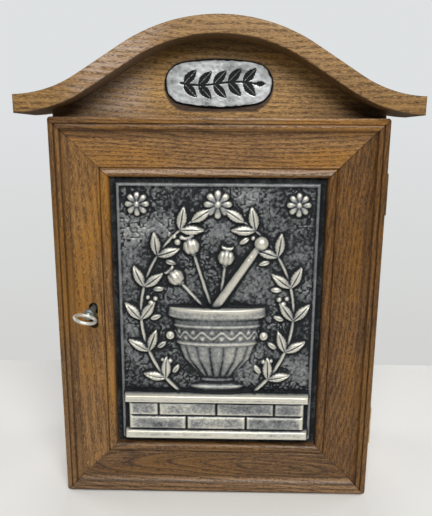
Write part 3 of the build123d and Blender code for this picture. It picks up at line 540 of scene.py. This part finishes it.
plinth_base = 10.0           # heights of the plinth's parts, and then how far they stand out
plinth_body = 31.0
plinth_cap = 9.0
base_rise, body_rise, block_rise, cap_rise = 13.5, 9.2, 11.5, 14.5
plinth_bevel = 1.8
block_gap = 0.7              # half of the joint between two blocks
plinth_low = -picture_half_height
plinth_top = plinth_low + plinth_base + plinth_body + plinth_cap
mortar_outline = ((29, 0), (30, 7), (19, 11), (17, 16), (36, 37), (45, 62), (46, 80), (51, 83), (50, 92))
mortar_beads = ((54.5, 1.1, 0.9), (73.5, 1.0, 0.9), (14, 1.6, 1.0), (4, 1.2, -0.5))  # height, width, rise
mortar_flatness = 0.27
band_middle = 64             # the vine's line above the mortar's foot
lug_place = (47.5, 62.0)
lug_radius = 4.6
pestle_foot = (-6.0, 86.0)
pestle_tip = (43.0, 158.0)
pestle_radius = 5.0
pestle_tip_radius = 3.6
knob_radius, knob_rise = 7.5, 8.0
poppy_stems = ((-42.0, 50.0), (-18.0, 72.0), (7.0, 58.0))    # lean in degrees, and length
pod_radius, pod_rise = 8.5, 7.2
stem_shares = ((0.40, -0.62), (0.80, -0.06), (0.27, 0.74))   # three points of a branch
leaf_pairs = 6
leaf_length, leaf_width, leaf_rise, tip_rise = 24, 10.5, 4.4, 4.2
sprout_length, sprout_width, sprout_rise = 12, 6.0, 2.6
berry_bunches = 3
berries = ((0, 0, 3.4), (-4.2, 4.6, 2.7), (3.4, 5.6, 2.4))   # places and radii in a bunch
flower_inset = 17.0
flowers = ((-1, 12), (0, 14), (1, 12))                       # sides and radii


def root(value):
    return np.sqrt(np.maximum(value, 0))


def ridge(distance, width):
    """A smooth ridge, 1 high along its middle."""
    return np.exp(-(distance / width) ** 2)


def bar(x, z, start, end, radius, tip_radius):
    """A tapered round bar lying on the ground: its height, and how far along it each point is."""
    (ax, az), (bx, bz) = start, end
    length = hypot(bx - ax, bz - az)
    ux, uz = (bx - ax) / length, (bz - az) / length
    along = (x - ax) * ux + (z - az) * uz
    off = np.abs((x - ax) * uz - (z - az) * ux)
    width = radius + (tip_radius - radius) * np.clip(along / length, 0, 1)
    inside = (off < width) & (along > 0) & (along < length)
    return np.where(inside, root(width ** 2 - off ** 2), absent), along


def ball(x, z, middle, radius, rise):
    """The front of a ball that stands out by a rise."""
    off = np.hypot(x - middle[0], z - middle[1])
    return np.where(off < radius, rise * root(1 - (off / radius) ** 2), absent)


def leaf(x, z, foot, heading, length, width, rise):
    """A leaf with a midrib, side veins and a turned-up edge."""
    c, s = cos(heading), sin(heading)
    u = ((x - foot[0]) * c + (z - foot[1]) * s) / length
    v = -(x - foot[0]) * s + (z - foot[1]) * c
    inner = np.clip(u, 0, 1)
    half = width / 2 * np.sin(pi * inner ** 0.85) ** 0.85 + 0.01
    half = half * (1 + 0.05 * np.cos(inner * 46))
    share = np.abs(v) / half
    inside = (u > 0) & (u < 1) & (share < 1)
    body = rise * (0.62 + 0.38 * np.sin(pi * inner)) * np.maximum(1 - share ** 4, 0) ** 0.5
    fold = -rise * 0.34 * ridge(v, 0.55) + rise * 0.16 * ridge(np.abs(v) - 1.0, 0.5)
    veins = -0.28 * ramp(np.cos(2 * pi * (inner * 7 - share * 0.9)), 0.55, 1.0) * (1 - share)
    return np.where(inside, body + fold + veins, absent)


def ashlar(x, z, x0, x1, z0, z1, rise, bevel, seed):
    """A dressed stone block with bevelled edges and a tooled face."""
    edge = np.minimum(np.minimum(x - x0, x1 - x), np.minimum(z - z0, z1 - z))
    tooled = (rough(x + z * 0.6, z * 3.2 - x * 0.9, 1.7, seed + 1) - 0.5) * 0.7
    worn = (rough(x, z, 6.5, seed + 2) - 0.5) * 0.9
    face = rise + (tooled + worn) * ramp(edge, bevel, bevel * 2.5)
    return np.where(edge > 0, face - bevel * (1 - np.clip(edge / bevel, 0, 1)), absent)


def plinth(x, z):
    """A moulded base and cap with two courses of blocks between them."""
    wide, narrow = picture_half_width - 0.5, picture_half_width - 4.5
    body_low = plinth_low + plinth_base
    cap_low = body_low + plinth_body
    course = plinth_body / 2
    yield ashlar(x, z, -wide, wide, plinth_low, body_low, base_rise, plinth_bevel, 11)
    yield ashlar(x, z, -narrow, narrow, body_low, cap_low, body_rise, 0.5, 12)
    cap = ashlar(x, z, -wide, wide, cap_low, plinth_top, cap_rise, plinth_bevel, 13)
    yield cap - 0.9 * ridge(z - cap_low - 3.0, 0.45)
    for row, joints in enumerate(((-1, -0.34, 0.34, 1), (-1, -0.66, 0, 0.66, 1))):
        for k, (left, right) in enumerate(zip(joints, joints[1:])):
            z0 = body_low + row * course + block_gap
            yield ashlar(x, z, left * narrow + block_gap, right * narrow - block_gap,
                         z0, z0 + course - 2 * block_gap, block_rise, 1.2, 20 + 5 * row + k)


def mortar(x, z):
    """Footed mortar as a flattened half round, gadrooned below and with a leaf band above."""
    height = z - plinth_top
    radii, levels = zip(*mortar_outline)
    radius = np.interp(height, levels, radii)
    inside = (height > 0) & (height < levels[-1]) & (np.abs(x) < radius)
    turn = np.arcsin(np.clip(x / radius, -1, 1))
    form = mortar_flatness * root(radius ** 2 - x ** 2)
    lobes = np.abs(np.cos(turn * 9)) ** 0.6
    cup = ramp(height, 17, 21) * (1 - ramp(height, 50, 53))
    form = form + cup * (lobes - 0.8) * 1.5 * np.cos(turn) ** 0.5
    for at, width, rise in mortar_beads:
        form = form + rise * ridge(height - at, width)
    band = ramp(height, 56, 57.5) * (1 - ramp(height, 70.5, 72))
    wave = np.sin(turn * 14)
    vine = ridge(height - band_middle - 3.2 * wave, 1.1)
    buds = ridge(height - band_middle + 3.4 * wave, 2.1) * np.abs(wave) ** 3
    form = form + band * (1.1 * vine + 1.2 * buds - 0.5)
    lip = ramp(height, 82, 83.5)
    form = form + lip * 0.5 * (1 - ((height - 87.5) / 5) ** 2)
    form = form + (rough(x, z, 1.6, 31) - 0.5) * 0.25
    yield np.where(inside, form, absent)


def lugs(x, z):
    """The mortar's two scrolled grips."""
    for side in (-1, 1):
        off = np.hypot(x - side * lug_place[0], z - (plinth_top + lug_place[1]))
        knob = 4.4 * root(1 - (off / lug_radius) ** 2) + 3.4
        scroll = 5.2 + 0.8 * np.cos(np.clip(off - 1.2, 0, 4) * 3.2) + 1.4
        yield np.where(off < lug_radius, np.minimum(knob, scroll), absent)


def pestle(x, z):
    """A tapered shaft with two beads, and a round knob."""
    foot = (pestle_foot[0], plinth_top + pestle_foot[1])
    tip = (pestle_tip[0], plinth_top + pestle_tip[1])
    shaft, along = bar(x, z, foot, tip, pestle_radius, pestle_tip_radius)
    shaft = shaft + 0.5 * ridge(along - 66, 1.6) + 0.5 * ridge(along - 70, 1.0)
    yield shaft + ground_height + 1.2
    yield ball(x, z, tip, knob_radius, knob_rise) + ground_height


def poppies(x, z):
    """Seed heads on stems, each with ribs and a scalloped crown."""
    mouth = plinth_top + mortar_outline[-1][1]
    for lean, length in poppy_stems:
        ux, uz = sin(radians(lean)), cos(radians(lean))
        start = (ux * 12, mouth - 6)
        end = (start[0] + ux * length, start[1] + uz * length)
        stem, _ = bar(x, z, start, end, 1.8, 1.5)
        yield stem + ground_height + 0.3
        along = (x - end[0]) * ux + (z - end[1]) * uz
        off = (x - end[0]) * uz - (z - end[1]) * ux
        pod = ball(x, z, end, pod_radius, pod_rise)
        ribs = 0.45 * np.cos(np.arcsin(np.clip(off / 8.6, -1, 1)) * 10)
        yield pod + ribs * ramp(pod, 0, 2) + ground_height
        crown = np.abs(along - 9.0 - 0.035 * off ** 2) < 1.5
        yield np.where(crown & (np.abs(off) < 5.6), 6.2 + 0.7 * np.cos(off * 3.3), absent)
        collar = np.abs(along + 8.6) < 0.9
        yield np.where(collar & (np.abs(off) < 2.8), 5.4, absent)


def arc_through(points):
    """Centre, radius and the two end angles of an arc through three points."""
    (ax, az), (bx, bz), (cx, cz) = points
    d = 2 * (ax * (bz - cz) + bx * (cz - az) + cx * (az - bz))
    a2, b2, c2 = ax * ax + az * az, bx * bx + bz * bz, cx * cx + cz * cz
    ox = (a2 * (bz - cz) + b2 * (cz - az) + c2 * (az - bz)) / d
    oz = (a2 * (cx - bx) + b2 * (ax - cx) + c2 * (bx - ax)) / d
    return (ox, oz), hypot(ax - ox, az - oz), atan2(az - oz, ax - ox), atan2(cz - oz, cx - ox)


def branches(x, z):
    """Two leafy branches with berries, rising on either side of the mortar."""
    points = [(u * picture_half_width, v * picture_half_height) for u, v in stem_shares]
    (ox, oz), radius, first, last = arc_through(points)
    for side in (-1, 1):
        mx = x * side
        away = np.abs(np.hypot(mx - ox, z - oz) - radius)
        angle = np.arctan2(z - oz, mx - ox)
        share = (angle - first) / (last - first)
        thick = 2.1 - 0.9 * np.clip(share, 0, 1)
        yield np.where((share > 0) & (share < 1) & (away < thick),
                       root(thick ** 2 - away ** 2) + ground_height + 0.4, absent)
        for i in range(leaf_pairs):
            at = first + (last - first) * (i + 0.6) / leaf_pairs
            foot = (ox + radius * cos(at), oz + radius * sin(at))
            heading = at + pi / 2
            for hand in (-1, 1):
                turn = heading + hand * radians(40)
                yield leaf(mx, z, foot, turn, leaf_length, leaf_width, leaf_rise) + ground_height
            inner = (foot[0] - 9 * cos(at), foot[1] - 9 * sin(at))
            turn = heading + radians(75)
            yield leaf(mx, z, inner, turn, sprout_length, sprout_width, sprout_rise) + ground_height
        tip = (ox + radius * cos(last), oz + radius * sin(last))
        yield leaf(mx, z, tip, last + pi / 2, leaf_length, leaf_width, tip_rise) + ground_height
        for i in range(berry_bunches):
            at = first + (last - first) * (i + 0.55) / berry_bunches
            spot = (ox + radius * cos(at) - 10, oz + radius * sin(at))
            for dx, dz, r in berries:
                yield ball(mx, z, (spot[0] + dx, spot[1] + dz), r, r) + ground_height


def rosettes(x, z):
    """Flowers of eight petals, each round a seeded boss."""
    for side, radius in flowers:
        middle = (side * (picture_half_width - flower_inset), picture_half_height - flower_inset)
        dx, dz = x - middle[0], z - middle[1]
        petal = np.abs(np.cos(np.arctan2(dz, dx) * 4))
        share = np.hypot(dx, dz) / (radius * (0.72 + 0.28 * petal ** 0.7))
        form = 3.3 * np.maximum(1 - share ** 5, 0) ** 0.5 - 1.3 * (1 - petal) ** 2 + 0.6 * share
        yield np.where(share < 1, form + ground_height, absent)
        yield ball(x, z, middle, radius * 0.32, 5.0) + 0.35 * np.cos(dx * 5) * np.cos(dz * 5) + ground_height


def art_inset(x, z):
    """Distance inside the artwork's edge."""
    return np.minimum(art_half_width - np.abs(x), art_half_height - np.abs(z))


def relief_heights(x, z):
    """Heights of the whole casting over the front of its flange."""
    ground = ground_height + (rough(x, z, 7, 1) - 0.5) * 0.8 + (rough(x, z, 2.0, 2) - 0.5) * 0.6
    furrow = np.abs(0.6 * rough(x, z, 5.2, 3) + 0.4 * rough(x, z, 2.6, 7) - 0.5)
    pitted = 0.30 + 0.70 * ramp(rough(x, z, 30, 5), 0.35, 0.62)
    top = ground - 1.15 * pitted * (1 - ramp(furrow, 0.015, 0.075))
    for form in (branches, poppies, pestle, mortar, lugs, plinth, rosettes):
        for part in form(x, z):
            top = np.maximum(top, part)
    inset = art_inset(x, z)
    rim = rim_height - 0.9 * (1 - np.clip(inset / 0.9, 0, 1)) + (rough(x, z, 3.0, 4) - 0.5) * 0.4
    top = np.where((inset > 0) & (inset < rim_width), rim, top)
    return np.where(inset > 0, top, 0.0)


def relief_piece(material):
    """The casting's front as one grid of heights, with its flange, edges and back."""
    low, high = panel_low / MM, panel_high / MM
    middle_z = (low.z + high.z) / 2
    half_x, half_z = high.x, (high.z - low.z) / 2
    count_x = int(2 * art_half_width / relief_step) + 1
    count_z = int(2 * art_half_height / relief_step) + 1
    xs = np.linspace(-art_half_width - grid_margin, art_half_width + grid_margin, count_x)
    zs = np.linspace(-art_half_height - grid_margin, art_half_height + grid_margin, count_z)
    x, z = np.meshgrid(xs, zs)
    heights = blur(relief_heights(x, z), soften_reach)
    near = heights - blur(heights, near_reach)
    wide = heights - blur(heights, wide_reach)
    border = 1 - ramp(art_inset(x, z), rim_width - 0.6, rim_width + 0.4)
    wear = 0.40 + near * 0.46 + wide * 0.060 + (heights - ground_height) * 0.014
    # Brighter towards the bottom, round the plinth
    wear = wear + (rough(x, z, 30, 6) - 0.5) * 0.26 + 0.10 * ramp(-z, 62, 90)
    wear = np.clip(wear, 0, 1)
    wear = wear * (1 - border) + np.clip(wear, 0.20, 0.52) * border
    heights = np.pad(heights, 1)
    wear = np.pad(wear, 1, constant_values=0.42)
    xs = np.concatenate(([-half_x], xs, [half_x]))
    zs = np.concatenate(([-half_z], zs, [half_z]))
    x, z = np.meshgrid(xs, zs)
    y = flange_front / MM - heights
    return grid_solid("relief_casting", x, y, z + middle_z, wear, panel_high.y / MM, material, "door")


def grid_solid(name, x, y, z, wear, back, material, body):
    """A closed piece from a grid of points in millimetres and a flat back."""
    rows, columns = x.shape
    index = np.arange(rows * columns).reshape(rows, columns)
    quads = np.stack([index[:-1, :-1], index[:-1, 1:], index[1:, 1:], index[1:, :-1]], axis=-1)
    faces = quads.reshape(-1, 4).tolist()
    border = np.concatenate([index[0, :-1], index[:-1, -1], index[-1, :0:-1], index[:0:-1, 0]]).tolist()
    points = np.stack([x, y, z], axis=-1).reshape(-1, 3)
    rear = points[border]
    rear[:, 1] = back
    start, count = len(points), len(border)
    for k, follow in ring_pairs(count):
        faces.append([border[follow], border[k], start + k, start + follow])
    faces.append([start + k for k in range(count - 1, -1, -1)])
    mesh = new_mesh(name, np.vstack([points, rear]) * MM, faces)
    keep_marks(mesh, count, wear, np.zeros(x.shape))
    return new_piece(name, mesh, material, body, sharp=75)


# Plaque: a hammered oval plate with an engraved sprig, in millimetres from its centre

plaque_thickness = 2.2
plaque_end_radius = 19.0
plaque_edge = 0.8
plaque_rings = 70
plaque_spokes = 280
sprig_leaves = 5             # pairs of them
sprig_sway = 1.6
sprig_wave = 11.0
sprig_reach = 37


def oval_reach(angles):
    """Distance from the plate's centre to its edge, which is four arcs."""
    a, b, r = plaque_half_width / MM, plaque_half_height / MM, plaque_end_radius
    side = ((a - r) ** 2 + b ** 2 - r ** 2) / (2 * (b - r))
    c, s = np.abs(np.cos(angles)), np.abs(np.sin(angles))
    end = c * (a - r) + root(r ** 2 - (s * (a - r)) ** 2)
    flat = s * (b - side) + np.sqrt(side ** 2 - (c * (b - side)) ** 2)
    joint_x = (a - r) * (1 + r / (side - r))
    return np.where(end * c > joint_x, end, flat)


def sprig(x, z):
    """Strokes of the engraved sprig, from 0 to 1."""
    off = np.abs(z - sprig_sway * np.sin(x / sprig_wave))
    stroke = (1 - ramp(off, 0.75, 1.1)) * (np.abs(x) < sprig_reach)
    for i in range(sprig_leaves):
        foot_x = -33 + i * 14.0
        foot = (foot_x, sprig_sway * sin(foot_x / sprig_wave))
        for hand in (-1, 1):
            heading = hand * radians(46)
            form = leaf(x, z, foot, heading, 17.5, 8.4, 1.0)
            vein = np.abs((z - foot[1]) * cos(heading) - (x - foot[0]) * sin(heading))
            stroke = np.maximum(stroke, (form > 0) * ramp(vein, 0.10, 0.30))
    tip = leaf(x, z, (35, sprig_sway * sin(35 / sprig_wave)), 0.0, 9, 5.0, 1.0)
    return np.maximum(stroke, (tip > 0) * 1.0)


def plaque_piece(material):
    """The plate as rings of points round its centre, with its edge and a flat back."""
    angles = np.linspace(0, 2 * pi, plaque_spokes, endpoint=False)
    shares = (np.arange(plaque_rings) + 1) / plaque_rings
    reach = oval_reach(angles)
    x = np.append(0, np.outer(shares, reach * np.cos(angles)))
    z = np.append(0, np.outer(shares, reach * np.sin(angles)))
    inset = np.append(20, np.outer(1 - shares, reach))
    blows = ramp(dimples(x, z, 5.5, 41), 0.0, 0.75)
    ink = sprig(x, z)
    worn = 0.72 + (rough(x, z, 11, 42) - 0.5) * 0.50 + (blows - 0.5) * 0.16
    worn = worn - 0.80 * (1 - ramp(inset + (rough(x, z, 4, 44) - 0.5) * 1.2, 0.6, 2.4))
    sunk = 0.14 * (1 - blows) + 0.30 * ink + (rough(x, z, 2.4, 43) - 0.5) * 0.10 + 0.08
    sunk = np.clip(sunk, 0, 1) + plaque_edge * (1 - np.clip(inset / plaque_edge, 0, 1))
    front = plaque_seat / MM - plaque_thickness
    points = np.stack([x, front + sunk, z + plaque_middle / MM], axis=-1)
    last = 1 + (plaque_rings - 1) * plaque_spokes
    rear = points[last:].copy()
    rear[:, 1] = front + plaque_thickness
    start = len(points)
    faces = []
    for k, follow in ring_pairs(plaque_spokes):
        faces.append([0, 1 + follow, 1 + k])
        for ring in range(plaque_rings - 1):
            inner, outer = 1 + ring * plaque_spokes, 1 + (ring + 1) * plaque_spokes
            faces.append([inner + k, inner + follow, outer + follow, outer + k])
        faces.append([last + k, last + follow, start + follow, start + k])
    faces.append([start + k for k in range(plaque_spokes)])
    mesh = new_mesh("plaque_plate", np.vstack([points, rear]) * MM, faces)
    keep_marks(mesh, plaque_spokes, worn, ink)
    return new_piece("plaque_plate", mesh, material, "cabinet", sharp=75)


# Key: a turned shank and collar, a ring for a bow, and a bit with a slot, made along y and then tilted

bow_y = door_low.y - 29 * MM
bow_radius = 9.9
bow_wire = 1.6
shank_radius = 3.0
collar_radius = 5.2
collar_start = 12.0          # ahead of the door's front
collar_end = 17.0
shank_bore = 1.6
bore_depth = 20.0
bit_reach = 9.3
bit_width = 6.0
bit_thickness = 2.6
key_tilt = 15.0
key_spokes = 40
ring_spokes = 112
ring_sides = 28


def turned(bm, outline, spokes):
    """Adds a turned form round the y axis from radii and places in millimetres, closed at both ends."""
    turns = [2 * pi * k / spokes for k in range(spokes)]
    rings = [[bm.verts.new((radius * cos(turn) * MM, at * MM, radius * sin(turn) * MM)) for turn in turns]
             for radius, at in outline]
    for first, second in zip(rings, rings[1:]):
        for k, follow in ring_pairs(spokes):
            bm.faces.new((first[k], first[follow], second[follow], second[k]))
    bm.faces.new(rings[0][::-1])
    bm.faces.new(rings[-1])


def bow_ring(bm, middle):
    """Adds the ring of the bow, which lies level across the y axis."""
    rings = []
    for k in range(ring_spokes):
        turn = 2 * pi * k / ring_spokes
        ring = []
        for j in range(ring_sides):
            side = 2 * pi * j / ring_sides
            reach = bow_radius + bow_wire * cos(side)
            ring.append(bm.verts.new((reach * cos(turn) * MM, (middle + reach * sin(turn)) * MM,
                                      bow_wire * sin(side) * MM)))
        rings.append(ring)
    for first, second in ring_pairs(ring_spokes):
        a, b = rings[first], rings[second]
        for j, follow in ring_pairs(ring_sides):
            bm.faces.new((a[j], b[j], b[follow], a[follow]))


def key_bit(bm, far):
    """Adds the bit: a flat plate with a ward slot through it, standing out to +x."""
    near = far - bit_width
    middle = (near + far) / 2
    outer = ((shank_radius - 0.6, near), (bit_reach, near), (bit_reach, far), (shank_radius - 0.6, far))
    slot = ((shank_radius + 1.6, middle - 0.6), (shank_radius + 3.6, middle - 0.6),
            (shank_radius + 3.6, middle + 0.6), (shank_radius + 1.6, middle + 0.6))
    loops = []
    for height in (-bit_thickness / 2, bit_thickness / 2):
        for corners in (outer, slot):
            loops.append([bm.verts.new((x * MM, y * MM, height * MM)) for x, y in corners])
    low_outer, low_slot, high_outer, high_slot = loops
    for k, follow in ring_pairs(4):
        for first, second in ((low_outer, low_slot), (high_outer, high_slot),
                              (low_outer, high_outer), (low_slot, high_slot)):
            bm.faces.new((first[k], first[follow], second[follow], second[k]))


def key_piece(material):
    """The key in one mesh, turned by key_tilt about its own axis as it stands in the lock."""
    _, key_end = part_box("key")
    tip = key_end.y / MM
    front = door_low.y / MM
    neck = bow_y / MM + bow_radius - 0.6
    near, far = front - collar_end, front - collar_start
    bm = bmesh.new()
    bow_ring(bm, bow_y / MM)
    turned(bm, ((1.4, neck), (shank_radius * 0.8, neck + 0.9), (shank_radius, neck + 1.4),
                (shank_radius, near - 0.2), (collar_radius * 0.78, near), (collar_radius * 0.94, near + 0.35),
                (collar_radius, near + 0.9), (collar_radius, far - 0.9), (collar_radius * 0.94, far - 0.35),
                (collar_radius * 0.78, far), (shank_radius, far + 0.2), (shank_radius, tip),
                (shank_bore, tip), (shank_bore, tip - bore_depth)), key_spokes)
    key_bit(bm, tip - 0.5)
    bmesh.ops.recalc_face_normals(bm, faces=bm.faces)
    mesh = bpy.data.meshes.new("turned_key")
    bm.to_mesh(mesh)
    bm.free()
    mesh.transform(Matrix.Translation((key_x, 0, key_z)) @ Matrix.Rotation(radians(key_tilt), 4, "Y"))
    return new_piece("turned_key", mesh, material, "key")


# Screws: domed, slotted heads on the screws that the frame holds, in millimetres

head_radius = 2.6
head_dome = 0.16
head_depth = 1.2
screw_radius = 1.4
screw_length = 11.0
slot_half_width = 0.36
slot_depth = 0.55
head_rings = 13
head_spokes = 36
screw_spacing = 6.0 * MM     # no two screws are nearer than this


def screw_middles(node, axis, sign):
    """Where a node's screw heads are: the middles of the points that lie furthest out."""
    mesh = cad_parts[node].data
    points = np.empty(len(mesh.vertices) * 3)
    mesh.vertices.foreach_get("co", points)
    points = points.reshape(-1, 3)
    level = (points[:, axis] * sign).max()
    rims = []
    for point in np.unique(np.round(points[points[:, axis] * sign > level - 1e-5], 6), axis=0):
        near = [rim for rim in rims if np.linalg.norm(rim[0] - point) < screw_spacing]
        if near:
            near[0].append(point)
        else:
            rims.append([point])
    return [np.mean(rim, axis=0) for rim in rims]


def screw_form(turn):
    """Points of one screw that looks along +z, ring by ring from the middle of its head."""
    angles = 2 * pi * np.arange(head_spokes) / head_spokes
    rings = [np.zeros((1, 3))]
    for k in range(1, head_rings + 1):
        radius = head_radius * k / head_rings
        x, y = radius * np.cos(angles), radius * np.sin(angles)
        across = np.abs(x * sin(turn) - y * cos(turn))
        slot = 1 - ramp(across, slot_half_width - 0.1, slot_half_width + 0.1)
        height = head_dome * (1 - (k / head_rings) ** 2) - slot_depth * slot
        rings.append(np.stack([x, y, height], axis=-1))
    x, y = screw_radius * np.cos(angles), screw_radius * np.sin(angles)
    for height in (-head_depth, -screw_length):
        rings.append(np.stack([x, y, np.full(head_spokes, height)], axis=-1))
    return np.vstack(rings)


def screw_faces(start):
    """Faces of one screw, whose points begin at start."""
    spokes = ring_pairs(head_spokes)
    faces = [[start, start + 1 + k, start + 1 + follow] for k, follow in spokes]
    for ring in range(head_rings + 1):
        inner, outer = start + 1 + ring * head_spokes, start + 1 + (ring + 1) * head_spokes
        faces += [[inner + k, outer + k, outer + follow, inner + follow] for k, follow in spokes]
    last = start + 1 + (head_rings + 1) * head_spokes
    faces.append([last + k for k in range(head_spokes - 1, -1, -1)])
    return faces


def screw_set(node, axis, sign, material, body, seed):
    """A node's screws with slotted heads that look along an axis, each slot at its own angle."""
    toward = Vector((0, 0, 0))
    toward[axis] = sign
    spin = toward.to_track_quat("Z", "Y").to_matrix()
    rng = np.random.default_rng(seed)
    points, faces = [], []
    for middle in screw_middles(node, axis, sign):
        form = screw_form(rng.random() * pi) @ np.array(spin).T * MM
        faces += screw_faces(sum(len(done) for done in points))
        points.append(form + middle - np.array(toward) * head_dome * MM)
    name = node + "_slotted"
    piece = new_piece(name, new_mesh(name, np.vstack(points), faces), material, body, sharp=30)
    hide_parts(node)


# Lights, floor and camera

lamp_target = Vector((0, 0, 0.25))
wall_shades = ((0.30, (0.640, 0.643, 0.625)), (0.52, (0.735, 0.755, 0.765)))


def set_stage():
    board = new_board("floor_paint")
    x, y, z = board.place()
    tone = board.noise(x, y, z, scale=2.0)
    material = board.finish({
        "Base Color": board.mix(tone, (0.860, 0.860, 0.845), (0.885, 0.883, 0.865)),
        "Roughness": 0.75,
    })
    corners = ((-floor_half, floor_front, 0), (floor_half, floor_front, 0),
               (floor_half, floor_back, 0), (-floor_half, floor_back, 0))
    mesh = new_mesh("floor", corners, [(0, 1, 2, 3)])
    mesh.materials.append(material)
    add_object("floor", mesh)


def add_lamp(name, place, size, power, tint=(1, 1, 1)):
    """A soft round lamp that looks at the middle of the cabinet."""
    lamp = bpy.data.lights.new(name, "AREA")
    lamp.shape, lamp.size, lamp.energy, lamp.color = "DISK", size, power, tint
    holder = add_object(name, lamp)
    holder.location = place
    holder.rotation_euler = (lamp_target - Vector(place)).to_track_quat("-Z", "Y").to_euler()


def set_lights():
    """A pale wall for the camera, a weak and even light for the rest, and four lamps."""
    world = bpy.data.worlds.new("room")
    bpy.context.scene.world = world
    board = Board(world)
    up = board.node("SeparateXYZ", inputs={0: board.node("TexCoord")}).other(2)
    rise = board.node("MapRange", inputs={0: up, 1: -1.0, 2: 1.0})
    shade = board.node("ValToRGB", {"stops": wall_shades}, {0: rise})
    wall = board.node("Background", inputs={"Color": shade, "Strength": 1.0})
    soft = board.node("Background", inputs={"Color": (0.96, 0.98, 1.0), "Strength": 0.06})
    seen = board.node("LightPath")       # its first output is Is Camera Ray
    board.node("OutputWorld", inputs={0: board.node("MixShader", inputs={0: seen, 1: soft, 2: wall})})
    add_lamp("key", (0.16, -1.30, 1.34), 1.1, 30.0, (1.0, 0.99, 0.97))
    add_lamp("left", (-1.4, 0.45, 0.75), 0.9, 6.0)
    add_lamp("right", (1.4, 0.45, 0.75), 0.9, 5.0)
    add_lamp("rear", (0.0, 1.5, 1.1), 0.9, 9.0)


def set_camera():
    camera = bpy.data.cameras.new("camera")
    camera.lens = camera_lens
    camera.sensor_width = 36.0
    holder = add_object("camera", camera)
    turn = Matrix.Rotation(radians(camera_turn), 4, "Z")
    pitch = Matrix.Rotation(radians(90 - camera_pitch), 4, "X")
    roll = Matrix.Rotation(radians(camera_roll), 4, "Z")
    holder.matrix_world = Matrix.Translation(camera_place) @ turn @ pitch @ roll
    bpy.context.scene.camera = holder


bpy.context.scene.view_settings.view_transform = "Standard"
set_stage()
set_lights()
set_camera()

# Finishes of the frame's nodes
# The cornice and pediment get a painted sheen on their left and painted shade underneath and in corners; the
# door's members get stain and painted shade in their grooves, and the rails painted highlights
dress(oak("oak_cornice", cornice_oak, "X", 0.31, heart=(0.62, 0.03), tilt=0.03,
          darkening=painted_underside_shade, painted_sheen=(-0.092, 0.060, 0.75)), "arch_cornice")
dress(oak("oak_pediment", pediment_oak, "X", 0.90, heart=(0.36, 0.02), tilt=0.06, figure=0.35,
          darkening=painted_corner_shade, painted_sheen=(-0.105, 0.055, 0.80)), "pediment_board")
dress(oak("oak_stile_left", stile_oak, "Z", 0.13, heart=(-0.20, 0.05), darkening=keyhole_and_moulding_shade),
      "door_stile_left")
dress(oak("oak_stile_right", dark_oak, "Z", 0.67, heart=(0.30, 0.06), tilt=-0.15, rise=0.05, figure=0.40,
          darkening=moulding_stain_and_shade), "door_stile_right")
dress(oak("oak_rail_top", stile_oak, "X", 0.45, heart=(0.40, -0.02), tilt=-0.03, rise=0.10, figure=0.55,
          darkening=moulding_stain_and_shade, painted_highlight=(quirk_line + 1 * MM, quirk_line + 5 * MM, 0.60, sheen_tint)),
      "door_rail_top")
dress(oak("oak_rail_bottom", rail_oak, "X", 0.86, heart=(0.050, 0.02), tilt=0.02, rise=0.11, figure=0.60,
          darkening=moulding_stain_and_shade, painted_highlight=(1 * MM, field_line, 0.55, warm_highlight_tint)), "door_rail_bottom")
dress(oak("oak_side", case_oak, "Z", 0.5, heart=(0.02, 0.10), gloss=0.08), "side_left", "side_right")
dress(oak("oak_end", case_oak, "X", 0.7, heart=(0.10, 0.12), gloss=0.08),
      "top_board", "bottom_board", "hanging_rail", "pediment_blocks")
dress(oak("oak_shelf", case_oak, "X", 1.4, heart=(0.30, 0.10), gloss=0.08), "shelf_lower", "shelf_upper")
dress(plain_wood("beech", (0.52, 0.36, 0.21), (0.40, 0.26, 0.14)), "carcass_tongues", "mitre_splines")
dress(plain_wood("plywood", *plywood, "Z", 2.0), "panel_backing")
dress(plain_wood("plywood_back", *plywood, "Z", 6.0, nails=brads), "back_panel")
brass = worn_metal("brass", (0.62, 0.45, 0.20), (0.42, 0.29, 0.13), 0.34)
dress(brass, "hinge_leaf_case_lower", "hinge_leaf_case_upper", "hinge_leaf_door_lower",
      "hinge_leaf_door_upper", "hinge_pin_lower", "hinge_pin_upper", "turn_clips", "lock_plate", "lock_bolt",
      "strike_plate")
steel = worn_metal("steel", (0.55, 0.55, 0.54), (0.36, 0.36, 0.36), 0.38)
dress(steel, "shelf_pins", "hanger_plate_left", "hanger_plate_right", "lock_case", "lock_drill_pin",
      "lock_spring")
relief_pewter = pewter("relief_pewter", (0.71, 0.69, 0.60), (0.245, 0.255, 0.262), (0.010, 0.012, 0.014))
plaque_pewter = pewter("plaque_pewter", (0.56, 0.58, 0.59), (0.31, 0.325, 0.33), (0.004, 0.004, 0.004), 0.4)

casting = relief_piece(relief_pewter)
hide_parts("relief_panel")
screw_brass = worn_metal("screw_brass", (0.50, 0.37, 0.17), (0.22, 0.155, 0.075), 0.42, scale=500)
screw_steel = worn_metal("screw_steel", (0.50, 0.50, 0.49), (0.20, 0.20, 0.20), 0.42, scale=500)
brass_screws = (("hinge_screws_case", 1, -1, "cabinet"), ("hinge_screws_door", 1, 1, "door"),
                ("clip_screws", 1, 1, "door"), ("lock_screws", 1, 1, "door"),
                ("strike_screws", 0, 1, "cabinet"))
for seed, (node, axis, sign, body) in enumerate(brass_screws, 51):
    screw_set(node, axis, sign, screw_brass, body, seed)
screw_set("hanger_screws", 1, 1, screw_steel, "cabinet", 56)
turnkey = key_piece(key_metal("key_nickel"))
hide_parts("key")
plate = plaque_piece(plaque_pewter)
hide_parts("pediment_plaque")
